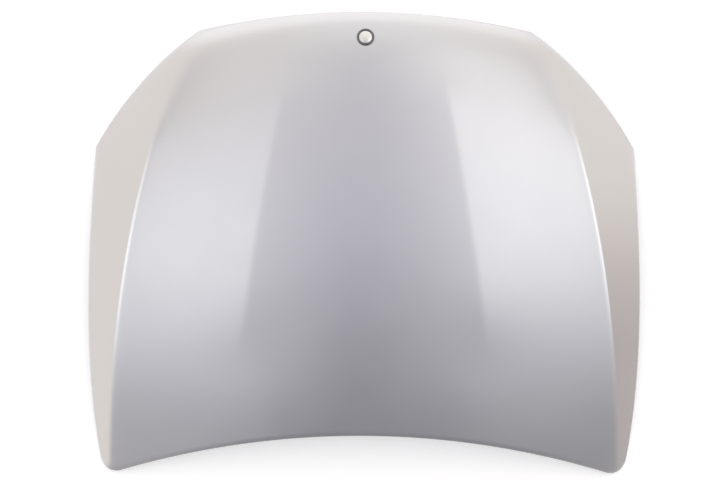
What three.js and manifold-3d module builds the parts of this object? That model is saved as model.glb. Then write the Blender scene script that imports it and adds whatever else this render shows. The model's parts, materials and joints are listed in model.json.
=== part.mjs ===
// Car bonnet: painted outer skin with feature lines and a folded hem, pressed inner frame,
// badge, strikers, stop buffers and hinge reinforcements. Millimetres, +Z up through the skin.
// In plan, x runs from the centre line to a side and s runs rearwards from the tip of the nose.

import * as THREE from "three";
import { mergeVertices, toCreasedNormals } from "three/addons/utils/BufferGeometryUtils.js";
import Module from "manifold-3d";

const wasm = await Module();
wasm.setup();

// Outline of the panel in plan
const FRONT_BOW = 40;
const GRILLE_CORNER_X = 440;
const GRILLE_CORNER_S = FRONT_BOW;
const HEADLAMP_BOW = 22;
const WING_CORNER_X = 719;
const WING_CORNER_S = 344;
const SIDE_MIDDLE_X = 726;
const SIDE_MIDDLE_S = 590;
const SIDE_REAR_X = 717;
const SIDE_REAR_S = 990;
const REAR_CORNER_X = 684;
const REAR_CORNER_S = 1217;
const REAR_CENTRE_S = 1106;
const CORNER_ROUND = 52;
const CORNER_HANDLE = 0.56;
const BOW_HANDLE = 4 / 3;

// Feature lines: the outer crease runs from the grille corner to the rear corner
const OUTER_CREASE_FRONT_X = 453;
const OUTER_CREASE_SECOND_X = 548;
const OUTER_CREASE_SECOND_S = 320;
const OUTER_CREASE_THIRD_X = 637;
const OUTER_CREASE_THIRD_S = 760;
const OUTER_CREASE_REAR_X = 669;
const OUTER_CREASE_REAR_S = 1188;
const INNER_CREASE_FRONT_X = 200;
const INNER_CREASE_FRONT_S = 150;
const INNER_CREASE_MIDDLE_X = 272;
const INNER_CREASE_MIDDLE_S = 550;
const INNER_CREASE_REAR_X = 329;
const INNER_CREASE_REAR_S = 950;
const INNER_CREASE_START_S = 120;
const INNER_CREASE_END_S = 980;
const INNER_CREASE_FADE = 300;
const INNER_CREASE_KINK = 0.06;
const INNER_CREASE_WIDTH = 8;

// Heights along the centre line and the outer crease, and the slopes that leave them
const NOSE_HEIGHT = 141;
const DOME_HEIGHT = 168;
const DOME_S = 560;
const SCUTTLE_HEIGHT = 118;
const SCUTTLE_S = 1120;
const CREASE_FRONT_HEIGHT = 86;
const CREASE_FRONT_S = 45;
const CREASE_MIDDLE_HEIGHT = 111;
const CREASE_MIDDLE_S = 600;
const CREASE_REAR_HEIGHT = 8;
const CREASE_REAR_S = 1205;
const FLANK_FRONT_KINK = 0.449;
const FLANK_FRONT_S = 200;
const FLANK_MIDDLE_KINK = 0.5;
const FLANK_MIDDLE_S = 700;
const FLANK_REAR_KINK = 0.4;
const FLANK_REAR_S = 1200;
const CREASE_SHARP_WIDTH = 7;
const CREASE_SOFT_WIDTH = 42;
const CREASE_SOFT_END_S = 140;
const CREASE_SHARPENING = 260;
const NOSE_ROLL = 0.75;
const NOSE_ROLL_DISTANCE = 20;
const NOSE_ROLL_WIDTH = 45;

// Sheet metal, its hem and the clearance between touching pieces
const SKIN_THICKNESS = 1;
const FRAME_THICKNESS = 0.9;
const SEAT_GAP = 0.3;
const HEM_GAP = 0.45;
const HEM_FLANGE = 11;
const FRAME_EDGE_INSET = 3.2;
const FRAME_WEB_FOOT = 20;
const FRAME_DEPTH = 17;
const FRAME_FLANK_DEPTH = 9;
const FRAME_DEPTH_BLEND = 50;
const FRAME_BRIDGE = 25;

// Lightening openings of the inner frame
const OPENING_LIMIT = 68;
const OPENING_RIM = 13;
const OPENING_WEB = 9;
const RIB_HALF_WIDTH = 16;
const RIM_DEPTH = 4;
const BEAD_DIAMETER = 9;
const OPENING_SQUARENESS = 3.4;

// Stations of the pressed sheets: columns to the side, rows to the rear
const CENTRE_COLUMNS = 6;
const FIELD_COLUMNS = 6;
const FLANK_COLUMNS = 6;
const ROWS = 20;
const ROW_SPREAD = 1.3;
const CUT_SPREAD = 1.4;
const BLOCK = 4;
const SKIN_GRIP = 10;
const FRAME_GRIP = 2;
const CREASE_ON_ROUND = 0.5;
const ROUND_COLUMNS = 2;

// Flat pads pressed into the inner frame for the hinges and the strikers
const HINGE_PAD_HALF_WIDTH = 34;
const HINGE_PAD_HALF_LENGTH = 46;
const HINGE_PAD_DROP = 5;
const STRIKER_PAD_HALF_WIDTH = 24;
const STRIKER_PAD_HALF_LENGTH = 37;
const STRIKER_PAD_DROP = 3;
const PAD_BLEND = 9;
const STRIKER_BLOCK = 1;
const HINGE_BLOCK = 2;

// Hinge reinforcement and its weld nuts
const HINGE_PLATE_WIDTH = 56;
const HINGE_PLATE_LENGTH = 82;
const HINGE_PLATE_THICKNESS = 2.5;
const HINGE_BOLT_SPACING = 46;
const HINGE_BOLT_HOLE = 9;
const WELD_NUT_ACROSS = 13;
const WELD_NUT_HEIGHT = 6.5;
const HINGE_BOLT = 8;
const PLATE_CORNER_CUT = 6;
const HINGE_BOLT_HEAD = 5;

// Strikers under the nose
const STRIKER_PLATE_WIDTH = 32;
const STRIKER_PLATE_LENGTH = 68;
const STRIKER_PLATE_THICKNESS = 3;
const STRIKER_ROD = 8;
const STRIKER_SPAN = 28;
const STRIKER_REACH = 38;
const STRIKER_BEND = 9;
const STRIKER_BOLT_SPACING = 52;
const STRIKER_BOLT = 6;
const BOLT_HOLE_CLEARANCE = 1;
const BOLT_HEAD_ACROSS = 10;
const BOLT_HEAD_HEIGHT = 4;
const BOLT_TAIL = 5;
const CUTTER_REACH = 4;

// Round badge at the nose
const BADGE_S = 73;
const BADGE_DIAMETER = 46;
const BADGE_RING_WIDTH = 5;
const BADGE_RING_HEIGHT = 4;
const BADGE_RING_CHAMFER = 1.5;
const BADGE_RING_OUTER_SIDE = 2;
const BADGE_RING_INNER_SIDE = 2.8;
const BADGE_DISC_EDGE = 2;
const BADGE_DISC_DOME = 2;
const BADGE_PIN = 8;
const BADGE_PIN_LENGTH = 9;
const BADGE_CLIP_DIAMETER = 20;
const BADGE_CLIP_THICKNESS = 1.5;

// Rubber stop buffers
const BUFFER_DIAMETER = 22;
const BUFFER_HEIGHT = 12;
const BUFFER_TIP = 13;
const BUFFER_SHOULDER = 18.5;
const BUFFER_SHOULDER_RISE = 2.4;
const BUFFER_BELLY_RISE = 8.4;
const BUFFER_STEM = 9;
const BUFFER_STEM_LENGTH = 6;
const BUFFER_PLACES = [[2, 9], [9, 14]];

// Sides of the round pieces and the angle at which an edge stays sharp
const SHANK_SIDES = 10;
const HOLE_SIDES = 12;
const HOLE_CURVE_SEGMENTS = 6;
const ROD_CURVE_SEGMENTS = 4;
const ROD_STEPS = 20;
const BEAD_SIDES = 6;
const BUFFER_SIDES = 10;
const BADGE_RING_SIDES = 28;
const BADGE_DISC_SIDES = 20;
const BADGE_CLIP_SIDES = 14;
const SHARP_EDGE = Math.PI / 7;

const HALF_COLUMNS = CENTRE_COLUMNS + FIELD_COLUMNS + FLANK_COLUMNS;
const CREASE_COLUMN = CENTRE_COLUMNS + FIELD_COLUMNS;
const BEHIND_SKIN = SKIN_THICKNESS + HEM_GAP;
const GRID_INSET = HEM_FLANGE + SKIN_THICKNESS;
const HEM_RADIUS = HEM_GAP + FRAME_THICKNESS / 2 + SKIN_THICKNESS;

const paint = new THREE.MeshStandardMaterial({ color: 0xc4c5c8, roughness: 0.3, metalness: 0.75 });
const innerPaint = new THREE.MeshStandardMaterial({ color: 0xa9abaf, roughness: 0.5, metalness: 0.5 });
const zinc = new THREE.MeshStandardMaterial({ color: 0xb9bcc0, roughness: 0.42, metalness: 0.9 });
const rubber = new THREE.MeshStandardMaterial({ color: 0x1c1d1f, roughness: 0.9, metalness: 0 });
const mastic = new THREE.MeshStandardMaterial({ color: 0x3a3c40, roughness: 0.85, metalness: 0 });
const darkGloss = new THREE.MeshStandardMaterial({ color: 0x23262c, roughness: 0.25, metalness: 0.2 });
const brightTrim = new THREE.MeshStandardMaterial({ color: 0xd6d8da, roughness: 0.15, metalness: 1 });
const plastic = new THREE.MeshStandardMaterial({ color: 0x2a2b2d, roughness: 0.7, metalness: 0 });

// Smooth curve through a few stations, each a distance and its value
function curveThrough(...stations) {
  return (at) => {
    let sum = 0;
    for (const [station, value] of stations) {
      let weight = value;
      for (const [other] of stations) {
        if (other !== station) weight *= (at - other) / (station - other);
      }
      sum += weight;
    }
    return sum;
  };
}

// Ramp that starts at zero distance, with a rounded corner of the given width
function roundedRamp(distance, width) {
  return 0.5 * (distance + Math.hypot(distance, width));
}

// Step from 0 to 1 with no kink at either end
function fade(t) {
  const u = THREE.MathUtils.clamp(t, 0, 1);
  return u * u * u * (10 - 15 * u + 6 * u * u);
}

const outerCreaseX = curveThrough(
  [GRILLE_CORNER_S, OUTER_CREASE_FRONT_X],
  [OUTER_CREASE_SECOND_S, OUTER_CREASE_SECOND_X],
  [OUTER_CREASE_THIRD_S, OUTER_CREASE_THIRD_X],
  [OUTER_CREASE_REAR_S, OUTER_CREASE_REAR_X],
);
const innerCreaseX = curveThrough(
  [INNER_CREASE_FRONT_S, INNER_CREASE_FRONT_X],
  [INNER_CREASE_MIDDLE_S, INNER_CREASE_MIDDLE_X],
  [INNER_CREASE_REAR_S, INNER_CREASE_REAR_X],
);
const centreHeight = curveThrough([0, NOSE_HEIGHT], [DOME_S, DOME_HEIGHT], [SCUTTLE_S, SCUTTLE_HEIGHT]);
const creaseHeight = curveThrough(
  [CREASE_FRONT_S, CREASE_FRONT_HEIGHT],
  [CREASE_MIDDLE_S, CREASE_MIDDLE_HEIGHT],
  [CREASE_REAR_S, CREASE_REAR_HEIGHT],
);
const flankKink = curveThrough(
  [FLANK_FRONT_S, FLANK_FRONT_KINK],
  [FLANK_MIDDLE_S, FLANK_MIDDLE_KINK],
  [FLANK_REAR_S, FLANK_REAR_KINK],
);
const sideX = curveThrough(
  [WING_CORNER_S, WING_CORNER_X],
  [SIDE_MIDDLE_S, SIDE_MIDDLE_X],
  [SIDE_REAR_S, SIDE_REAR_X],
  [REAR_CORNER_S, REAR_CORNER_X],
);

function frontS(x) {
  return FRONT_BOW * (x / GRILLE_CORNER_X) ** 2;
}

function rearS(x) {
  return REAR_CENTRE_S + (REAR_CORNER_S - REAR_CENTRE_S) * (x / REAR_CORNER_X) ** 2;
}

// Height of the painted surface over the plan
function skinHeight(x, s) {
  const side = Math.abs(x);
  const innerKink = INNER_CREASE_KINK
    * fade((s - INNER_CREASE_START_S) / INNER_CREASE_FADE * 2)
    * fade((INNER_CREASE_END_S - s) / INNER_CREASE_FADE);
  const creaseX = outerCreaseX(s);
  const creaseDrop = centreHeight(s) - creaseHeight(s) - innerKink * (creaseX - innerCreaseX(s));
  const sharpness = fade((s - CREASE_SOFT_END_S) / CREASE_SHARPENING);
  const creaseWidth = THREE.MathUtils.lerp(CREASE_SOFT_WIDTH, CREASE_SHARP_WIDTH, sharpness);
  const noseDistance = NOSE_ROLL_DISTANCE - (s - frontS(side));
  return centreHeight(s)
    - creaseDrop * (side / creaseX) ** 2
    - innerKink * roundedRamp(side - innerCreaseX(s), INNER_CREASE_WIDTH)
    - flankKink(s) * roundedRamp(side - creaseX, creaseWidth)
    - NOSE_ROLL * roundedRamp(noseDistance, NOSE_ROLL_WIDTH);
}

function skinPoint(x, s) {
  return new THREE.Vector3(x, -s, skinHeight(x, s));
}

function skinNormal(x, s, step = 0.5) {
  const slopeX = (skinHeight(x + step, s) - skinHeight(x - step, s)) / (2 * step);
  const slopeS = (skinHeight(x, s + step) - skinHeight(x, s - step)) / (2 * step);
  return new THREE.Vector3(-slopeX, slopeS, 1).normalize();
}

// Point that lies a given depth behind the painted surface, measured square to it
function behindSkin(x, s, depth) {
  return skinPoint(x, s).addScaledVector(skinNormal(x, s), -depth);
}

// Point of the inner frame behind the skin, on a shape that bridges the skin's feature lines
function frameBehind(x, s, depth) {
  return skinPoint(x, s).addScaledVector(skinNormal(x, s, FRAME_BRIDGE), -BEHIND_SKIN - depth);
}

function bezier(points, t) {
  const [a, b, c, d] = points;
  const u = 1 - t;
  const weights = [u ** 3, 3 * u * u * t, 3 * u * t * t, t ** 3];
  const mix = (key) => weights[0] * a[key] + weights[1] * b[key] + weights[2] * c[key] + weights[3] * d[key];
  return { x: mix("x"), s: mix("s") };
}

// Rounded rear corner between the rear edge and the side edge
const rearDirection = new THREE.Vector2(
  1,
  rearS(REAR_CORNER_X + 0.5) - rearS(REAR_CORNER_X - 0.5),
).normalize();
const sideDirection = new THREE.Vector2(
  sideX(REAR_CORNER_S - 0.5) - sideX(REAR_CORNER_S + 0.5),
  -1,
).normalize();
const roundStartX = REAR_CORNER_X - CORNER_ROUND * rearDirection.x;
const roundEndS = REAR_CORNER_S + CORNER_ROUND * sideDirection.y;
const cornerRound = [
  { x: roundStartX, s: rearS(roundStartX) },
  {
    x: roundStartX + CORNER_HANDLE * CORNER_ROUND * rearDirection.x,
    s: rearS(roundStartX) + CORNER_HANDLE * CORNER_ROUND * rearDirection.y,
  },
  {
    x: sideX(roundEndS) - CORNER_HANDLE * CORNER_ROUND * sideDirection.x,
    s: roundEndS - CORNER_HANDLE * CORNER_ROUND * sideDirection.y,
  },
  { x: sideX(roundEndS), s: roundEndS },
];

// Headlamp cut from the grille corner to the wing corner, bowed outwards
const cutX = WING_CORNER_X - GRILLE_CORNER_X;
const cutS = WING_CORNER_S - GRILLE_CORNER_S;
const cutLength = Math.hypot(cutX, cutS);
const bowX = BOW_HANDLE * HEADLAMP_BOW * cutS / cutLength;
const bowS = BOW_HANDLE * HEADLAMP_BOW * cutX / cutLength;
const headlampCut = [
  { x: GRILLE_CORNER_X, s: GRILLE_CORNER_S },
  { x: GRILLE_CORNER_X + cutX / 3 + bowX, s: GRILLE_CORNER_S + cutS / 3 - bowS },
  { x: WING_CORNER_X - cutX / 3 + bowX, s: WING_CORNER_S - cutS / 3 - bowS },
  { x: WING_CORNER_X, s: WING_CORNER_S },
];

const rowShare = (row) => (row / ROWS) ** ROW_SPREAD;

// Station of a column where it ends at the front edge or the headlamp cut
function frontStation(column) {
  const flankShare = (column - CREASE_COLUMN) / FLANK_COLUMNS;
  if (flankShare > 0) return bezier(headlampCut, flankShare ** CUT_SPREAD);
  const x = column <= CENTRE_COLUMNS
    ? innerCreaseX(0) * column / CENTRE_COLUMNS
    : THREE.MathUtils.lerp(innerCreaseX(0), GRILLE_CORNER_X, (column - CENTRE_COLUMNS) / FIELD_COLUMNS);
  return { x, s: frontS(x) };
}

// Station of a column where it ends at the rear edge or the rounded corner
function rearStation(column) {
  const flankShare = (column - CREASE_COLUMN) / FLANK_COLUMNS;
  if (flankShare > 0) return bezier(cornerRound, THREE.MathUtils.lerp(CREASE_ON_ROUND, 1, flankShare));
  const straight = CREASE_COLUMN - ROUND_COLUMNS;
  if (column > straight) return bezier(cornerRound, CREASE_ON_ROUND * (column - straight) / ROUND_COLUMNS);
  const inner = innerCreaseX(REAR_CENTRE_S);
  const x = column <= CENTRE_COLUMNS
    ? inner * column / CENTRE_COLUMNS
    : THREE.MathUtils.lerp(inner, roundStartX, (column - CENTRE_COLUMNS) / (straight - CENTRE_COLUMNS));
  return { x, s: rearS(x) };
}

function sideStation(row) {
  const s = THREE.MathUtils.lerp(WING_CORNER_S, roundEndS, rowShare(row));
  return { x: sideX(s), s };
}

// Loop of stations round the right half, from the front centre to the rear centre
const halfLoop = [];
for (let column = 0; column <= HALF_COLUMNS; column++) halfLoop.push(frontStation(column));
for (let row = 1; row < ROWS; row++) halfLoop.push(sideStation(row));
for (let column = HALF_COLUMNS; column >= 0; column--) halfLoop.push(rearStation(column));

// Inward direction at each station, lengthened at a corner so that both edges move in equally
function inwardAt(index) {
  const here = halfLoop[index];
  const mirror = (station) => ({ x: -station.x, s: station.s });
  const before = index > 0 ? halfLoop[index - 1] : mirror(halfLoop[1]);
  const after = index < halfLoop.length - 1 ? halfLoop[index + 1] : mirror(halfLoop[index - 1]);
  const first = new THREE.Vector2(here.x - before.x, here.s - before.s).normalize();
  const second = new THREE.Vector2(after.x - here.x, after.s - here.s).normalize();
  const firstInward = new THREE.Vector2(-first.y, first.x);
  const secondInward = new THREE.Vector2(-second.y, second.x);
  const inward = firstInward.clone().add(secondInward);
  return inward.multiplyScalar(1 / (1 + firstInward.dot(secondInward)));
}

const halfInward = halfLoop.map((station, index) => inwardAt(index));

// Plan point of a boundary station, moved in by the given distance
function insetStation(index, distance) {
  const inward = halfInward[index];
  return { x: halfLoop[index].x + inward.x * distance, s: halfLoop[index].s + inward.y * distance };
}

// Plan grid of one half inside an inset outline: rows of stations from the centre line outwards.
// The higher the grip, the closer to the ends the columns on the feature lines leave them.
function halfGrid(inset, grip) {
  const loopIndex = {
    front: (column) => column,
    side: (row) => HALF_COLUMNS + row,
    rear: (column) => HALF_COLUMNS + ROWS + HALF_COLUMNS - column,
  };
  const front = (column) => insetStation(loopIndex.front(column), inset);
  const rear = (column) => insetStation(loopIndex.rear(column), inset);
  const side = (row) => insetStation(loopIndex.side(row), inset);
  const ridge = (column, xAt) => (row) => {
    if (row === 0) return front(column);
    if (row === ROWS) return rear(column);
    const v = rowShare(row);
    const s = THREE.MathUtils.lerp(front(column).s, rear(column).s, v);
    const frontShift = front(column).x - xAt(front(column).s);
    const rearShift = rear(column).x - xAt(rear(column).s);
    return { x: xAt(s) + frontShift * (1 - v) ** grip + rearShift * v ** grip, s };
  };
  const ridges = [
    [0, ridge(0, () => 0)],
    [CENTRE_COLUMNS, ridge(CENTRE_COLUMNS, innerCreaseX)],
    [CREASE_COLUMN, ridge(CREASE_COLUMN, outerCreaseX)],
    [HALF_COLUMNS, side],
  ];
  const rows = [];
  for (let row = 0; row <= ROWS; row++) {
    const stations = [];
    for (let patch = 0; patch < ridges.length - 1; patch++) {
      const [first, left] = ridges[patch];
      const [last, right] = ridges[patch + 1];
      for (let column = patch === 0 ? first : first + 1; column <= last; column++) {
        const u = (column - first) / (last - first);
        const v = rowShare(row);
        const blend = (key) => (1 - u) * left(row)[key] + u * right(row)[key]
          + (1 - v) * front(column)[key] + v * rear(column)[key]
          - (1 - v) * ((1 - u) * front(first)[key] + u * front(last)[key])
          - v * ((1 - u) * rear(first)[key] + u * rear(last)[key]);
        stations.push({ x: blend("x"), s: blend("s") });
      }
    }
    rows.push(stations);
  }
  return rows;
}

// Sheet of shared points and triangles, wound anticlockwise seen from its outer face
class Sheet {
  constructor() {
    this.points = [];
    this.triangles = [];
    this.level = new Set();
  }

  add(point, level = false) {
    if (level) this.level.add(this.points.length);
    this.points.push(point);
    return this.points.length - 1;
  }

  // Two triangles, cut along the diagonal that makes the left half mirror the right one
  quad(a, b, c, d) {
    const onLeft = this.points[a].x + this.points[b].x + this.points[c].x + this.points[d].x < 0;
    if (onLeft) this.triangles.push([a, b, d], [b, c, d]);
    else this.triangles.push([a, b, c], [a, c, d]);
  }

  // Band of quads between two rings that run clockwise seen from the outer face
  band(outer, inner) {
    for (let k = 0; k < outer.length; k++) {
      const next = (k + 1) % outer.length;
      this.quad(inner[k], inner[next], outer[next], outer[k]);
    }
  }

  // Flat floor inside a ring, as a fan about its centre
  fan(ring, centre) {
    for (let k = 0; k < ring.length; k++) this.triangles.push([centre, ring[(k + 1) % ring.length], ring[k]]);
  }

  // Middle and outward normal of a quad, to seat a small piece on it
  seat(a, b, c, d) {
    const corners = [a, b, c, d].map((id) => this.points[id]);
    const centre = corners.reduce((sum, p) => sum.add(p), new THREE.Vector3()).multiplyScalar(0.25);
    const along = corners[2].clone().sub(corners[0]);
    const across = corners[3].clone().sub(corners[1]);
    return { centre, normal: along.cross(across).normalize() };
  }

  // Closed solid made by giving the sheet a thickness behind its outer face
  thickened(thickness) {
    const turns = this.triangles.flatMap(([a, b, c]) => [[a, b, c], [b, c, a], [c, a, b]]);
    const corners = turns.map(([a, b, c]) => {
      const ab = this.points[b].clone().sub(this.points[a]);
      const ac = this.points[c].clone().sub(this.points[a]);
      return { at: a, angle: ab.angleTo(ac), normal: ab.cross(ac).normalize() };
    });
    const mean = this.points.map(() => new THREE.Vector3());
    corners.forEach(({ at, angle, normal }) => mean[at].addScaledVector(normal, angle));
    this.level.forEach((id) => mean[id].set(0, 0, 1));
    mean.forEach((direction) => direction.normalize());
    const lean = this.points.map(() => 0);
    const full = this.points.map(() => 0);
    corners.forEach(({ at, angle, normal }) => {
      lean[at] += angle * normal.dot(mean[at]);
      full[at] += angle;
    });
    const back = this.points.map((point, id) => {
      const stretch = this.level.has(id) ? 1 : full[id] / lean[id];
      return point.clone().addScaledVector(mean[id], -thickness * stretch);
    });
    const count = this.points.length;
    const triangles = [...this.triangles];
    this.triangles.forEach(([a, b, c]) => triangles.push([count + a, count + c, count + b]));
    const edges = new Set(this.triangles.flatMap(([a, b, c]) => [`${a}_${b}`, `${b}_${c}`, `${c}_${a}`]));
    for (const edge of edges) {
      const [a, b] = edge.split("_").map(Number);
      if (!edges.has(`${b}_${a}`)) triangles.push([a, count + a, count + b], [a, count + b, b]);
    }
    return geometryOf([...this.points, ...back], triangles);
  }
}

function geometryOf(points, triangles) {
  const geometry = new THREE.BufferGeometry();
  geometry.setAttribute("position", new THREE.Float32BufferAttribute(points.flatMap((p) => p.toArray()), 3));
  geometry.setIndex(triangles.flat());
  return geometry;
}

function toManifold(geometry) {
  const bare = geometry.clone();
  bare.deleteAttribute("normal");
  bare.deleteAttribute("uv");
  const merged = mergeVertices(bare, 1e-4);
  return new wasm.Manifold(new wasm.Mesh({
    numProp: 3,
    vertProperties: new Float32Array(merged.attributes.position.array),
    triVerts: new Uint32Array(merged.index.array),
  }));
}

function fromManifold(solid) {
  const mesh = solid.getMesh();
  const geometry = new THREE.BufferGeometry();
  geometry.setAttribute("position", new THREE.BufferAttribute(new Float32Array(mesh.vertProperties), 3));
  geometry.setIndex(new THREE.BufferAttribute(new Uint32Array(mesh.triVerts), 1));
  return geometry;
}

function united(...geometries) {
  return fromManifold(geometries.map(toManifold).reduce((whole, piece) => whole.add(piece)));
}

function pierced(geometry, cutters) {
  const cut = cutters.map(toManifold).reduce((whole, cutter) => whole.subtract(cutter), toManifold(geometry));
  return fromManifold(cut);
}

// Point ids of a full grid, mirrored about the centre line and added as they are first used
function fullGrid(sheet, rows, place) {
  const ids = new Map();
  return (row, column) => {
    const key = `${row}_${column}`;
    if (!ids.has(key)) {
      const { x, s } = rows[row][Math.abs(column)];
      ids.set(key, sheet.add(place(Math.sign(column) * x, s)));
    }
    return ids.get(key);
  };
}

// Places [row, column] round a block of the grid, clockwise seen from above
function blockBorder(row, column, rowCount, columnCount) {
  const border = [];
  for (let k = 0; k < columnCount; k++) border.push([row, column + k]);
  for (let k = 0; k < rowCount; k++) border.push([row + k, column + columnCount]);
  for (let k = columnCount; k > 0; k--) border.push([row + rowCount, column + k]);
  for (let k = rowCount; k > 0; k--) border.push([row + k, column]);
  return border;
}

// The whole border, turned so that it starts at the front centre as fullRing does
function panelBorder() {
  const border = blockBorder(0, -HALF_COLUMNS, ROWS, 2 * HALF_COLUMNS);
  return [...border.slice(HALF_COLUMNS), ...border.slice(0, HALF_COLUMNS)];
}

// Point ids of a full ring round the panel, clockwise from the front centre seen from above
function fullRing(sheet, inset, place) {
  const right = halfLoop.map((station, index) => insetStation(index, inset));
  const left = right.slice(1, -1).reverse().map(({ x, s }) => ({ x: -x, s }));
  return [...right, ...left].map(({ x, s }) => sheet.add(place(x, s)));
}

function gridQuad(grid, row, column) {
  return [grid(row + 1, column), grid(row + 1, column + 1), grid(row, column + 1), grid(row, column)];
}

// Outer skin: the surface, turned round the edge and folded back flat as a hem
function outerSkin() {
  const sheet = new Sheet();
  const grid = fullGrid(sheet, halfGrid(GRID_INSET, SKIN_GRIP), skinPoint);
  for (let row = 0; row < ROWS; row++) {
    for (let column = -HALF_COLUMNS; column < HALF_COLUMNS; column++) {
      sheet.quad(...gridQuad(grid, row, column));
    }
  }
  const hemArc = (angle) => fullRing(sheet, HEM_RADIUS * (1 - Math.sin(angle)), (x, s) => (
    behindSkin(x, s, HEM_RADIUS * (1 - Math.cos(angle)))
  ));
  const rings = [
    panelBorder().map(([row, column]) => grid(row, column)),
    hemArc(0),
    hemArc(Math.PI / 2),
    hemArc(Math.PI),
    fullRing(sheet, HEM_FLANGE, (x, s) => behindSkin(x, s, 2 * HEM_RADIUS)),
  ];
  for (let k = 0; k < rings.length - 1; k++) sheet.band(rings[k + 1], rings[k]);
  return sheet.thickened(SKIN_THICKNESS);
}

// Inner frame: flange inside the hem, web down to a channel, and ribs between lightening openings
const framePads = [];
const frameBeads = [];
const frameBuffers = [];

// Depth of the channel floor behind the skin, shallower outside the outer crease
function channelDepth(x, s) {
  const outside = fade((Math.abs(x) - outerCreaseX(s)) / FRAME_DEPTH_BLEND + 0.5);
  return THREE.MathUtils.lerp(FRAME_DEPTH, FRAME_FLANK_DEPTH, outside);
}

function channelFloor(x, s) {
  return frameBehind(x, s, channelDepth(x, s));
}

// Plan shape of one block of the grid: its middle, its half sizes and where each border point lies
function blockShape(rows, row, column) {
  const corner = (r, c) => ({ x: Math.sign(c) * rows[r][Math.abs(c)].x, s: rows[r][Math.abs(c)].s });
  const near = [corner(row, column), corner(row, column + BLOCK)];
  const far = [corner(row + BLOCK, column), corner(row + BLOCK, column + BLOCK)];
  const all = [...near, ...far];
  return {
    x: all.reduce((sum, p) => sum + p.x, 0) / 4,
    s: all.reduce((sum, p) => sum + p.s, 0) / 4,
    halfWidth: (near[1].x - near[0].x + far[1].x - far[0].x) / 4,
    halfLength: (far[0].s - near[0].s + far[1].s - near[1].s) / 4,
    directions: blockBorder(0, 0, BLOCK, BLOCK).map(([r, c]) => [2 * c / BLOCK - 1, 2 * r / BLOCK - 1]),
  };
}

// Rounded oblong in plan with one point facing each border point of its block
function oblong(shape, halfWidth, halfLength) {
  const power = OPENING_SQUARENESS;
  return shape.directions.map(([a, b]) => {
    const reach = (Math.abs(a) ** power + Math.abs(b) ** power) ** (-1 / power);
    return { x: shape.x + halfWidth * a * reach, s: shape.s + halfLength * b * reach };
  });
}

function addOpening(sheet, border, shape) {
  const margin = OPENING_RIM + OPENING_WEB + RIB_HALF_WIDTH;
  const halfWidth = Math.min(OPENING_LIMIT, shape.halfWidth - margin);
  const halfLength = Math.min(OPENING_LIMIT, shape.halfLength - margin);
  const ring = (grow, place) => oblong(shape, halfWidth + grow, halfLength + grow)
    .map(({ x, s }) => sheet.add(place(x, s)));
  const onRim = (x, s) => frameBehind(x, s, RIM_DEPTH);
  const foot = ring(OPENING_RIM + OPENING_WEB, channelFloor);
  const top = ring(OPENING_RIM, onRim);
  const edge = ring(0, onRim);
  sheet.band(border, foot);
  sheet.band(foot, top);
  sheet.band(top, edge);
  frameBeads.push(sheet.seat(edge[1], edge[2], top[2], top[1]));
}

function addPad(sheet, border, shape, pad) {
  const level = channelFloor(shape.x, shape.s).z - pad.drop;
  const foot = oblong(shape, pad.halfWidth + PAD_BLEND, pad.halfLength + PAD_BLEND)
    .map(({ x, s }) => sheet.add(channelFloor(x, s)));
  const edge = oblong(shape, pad.halfWidth, pad.halfLength)
    .map(({ x, s }) => sheet.add(new THREE.Vector3(x, -s, level), true));
  sheet.band(border, foot);
  sheet.band(foot, edge);
  sheet.fan(edge, sheet.add(new THREE.Vector3(shape.x, -shape.s, level), true));
  const centre = new THREE.Vector3(shape.x, -shape.s, level);
  framePads.push({ kind: pad.kind, side: shape.x < 0 ? "left" : "right", centre });
}

const strikerPad = {
  kind: "striker",
  halfWidth: STRIKER_PAD_HALF_WIDTH,
  halfLength: STRIKER_PAD_HALF_LENGTH,
  drop: STRIKER_PAD_DROP,
};
const hingePad = {
  kind: "hinge",
  halfWidth: HINGE_PAD_HALF_WIDTH,
  halfLength: HINGE_PAD_HALF_LENGTH,
  drop: HINGE_PAD_DROP,
};

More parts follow.
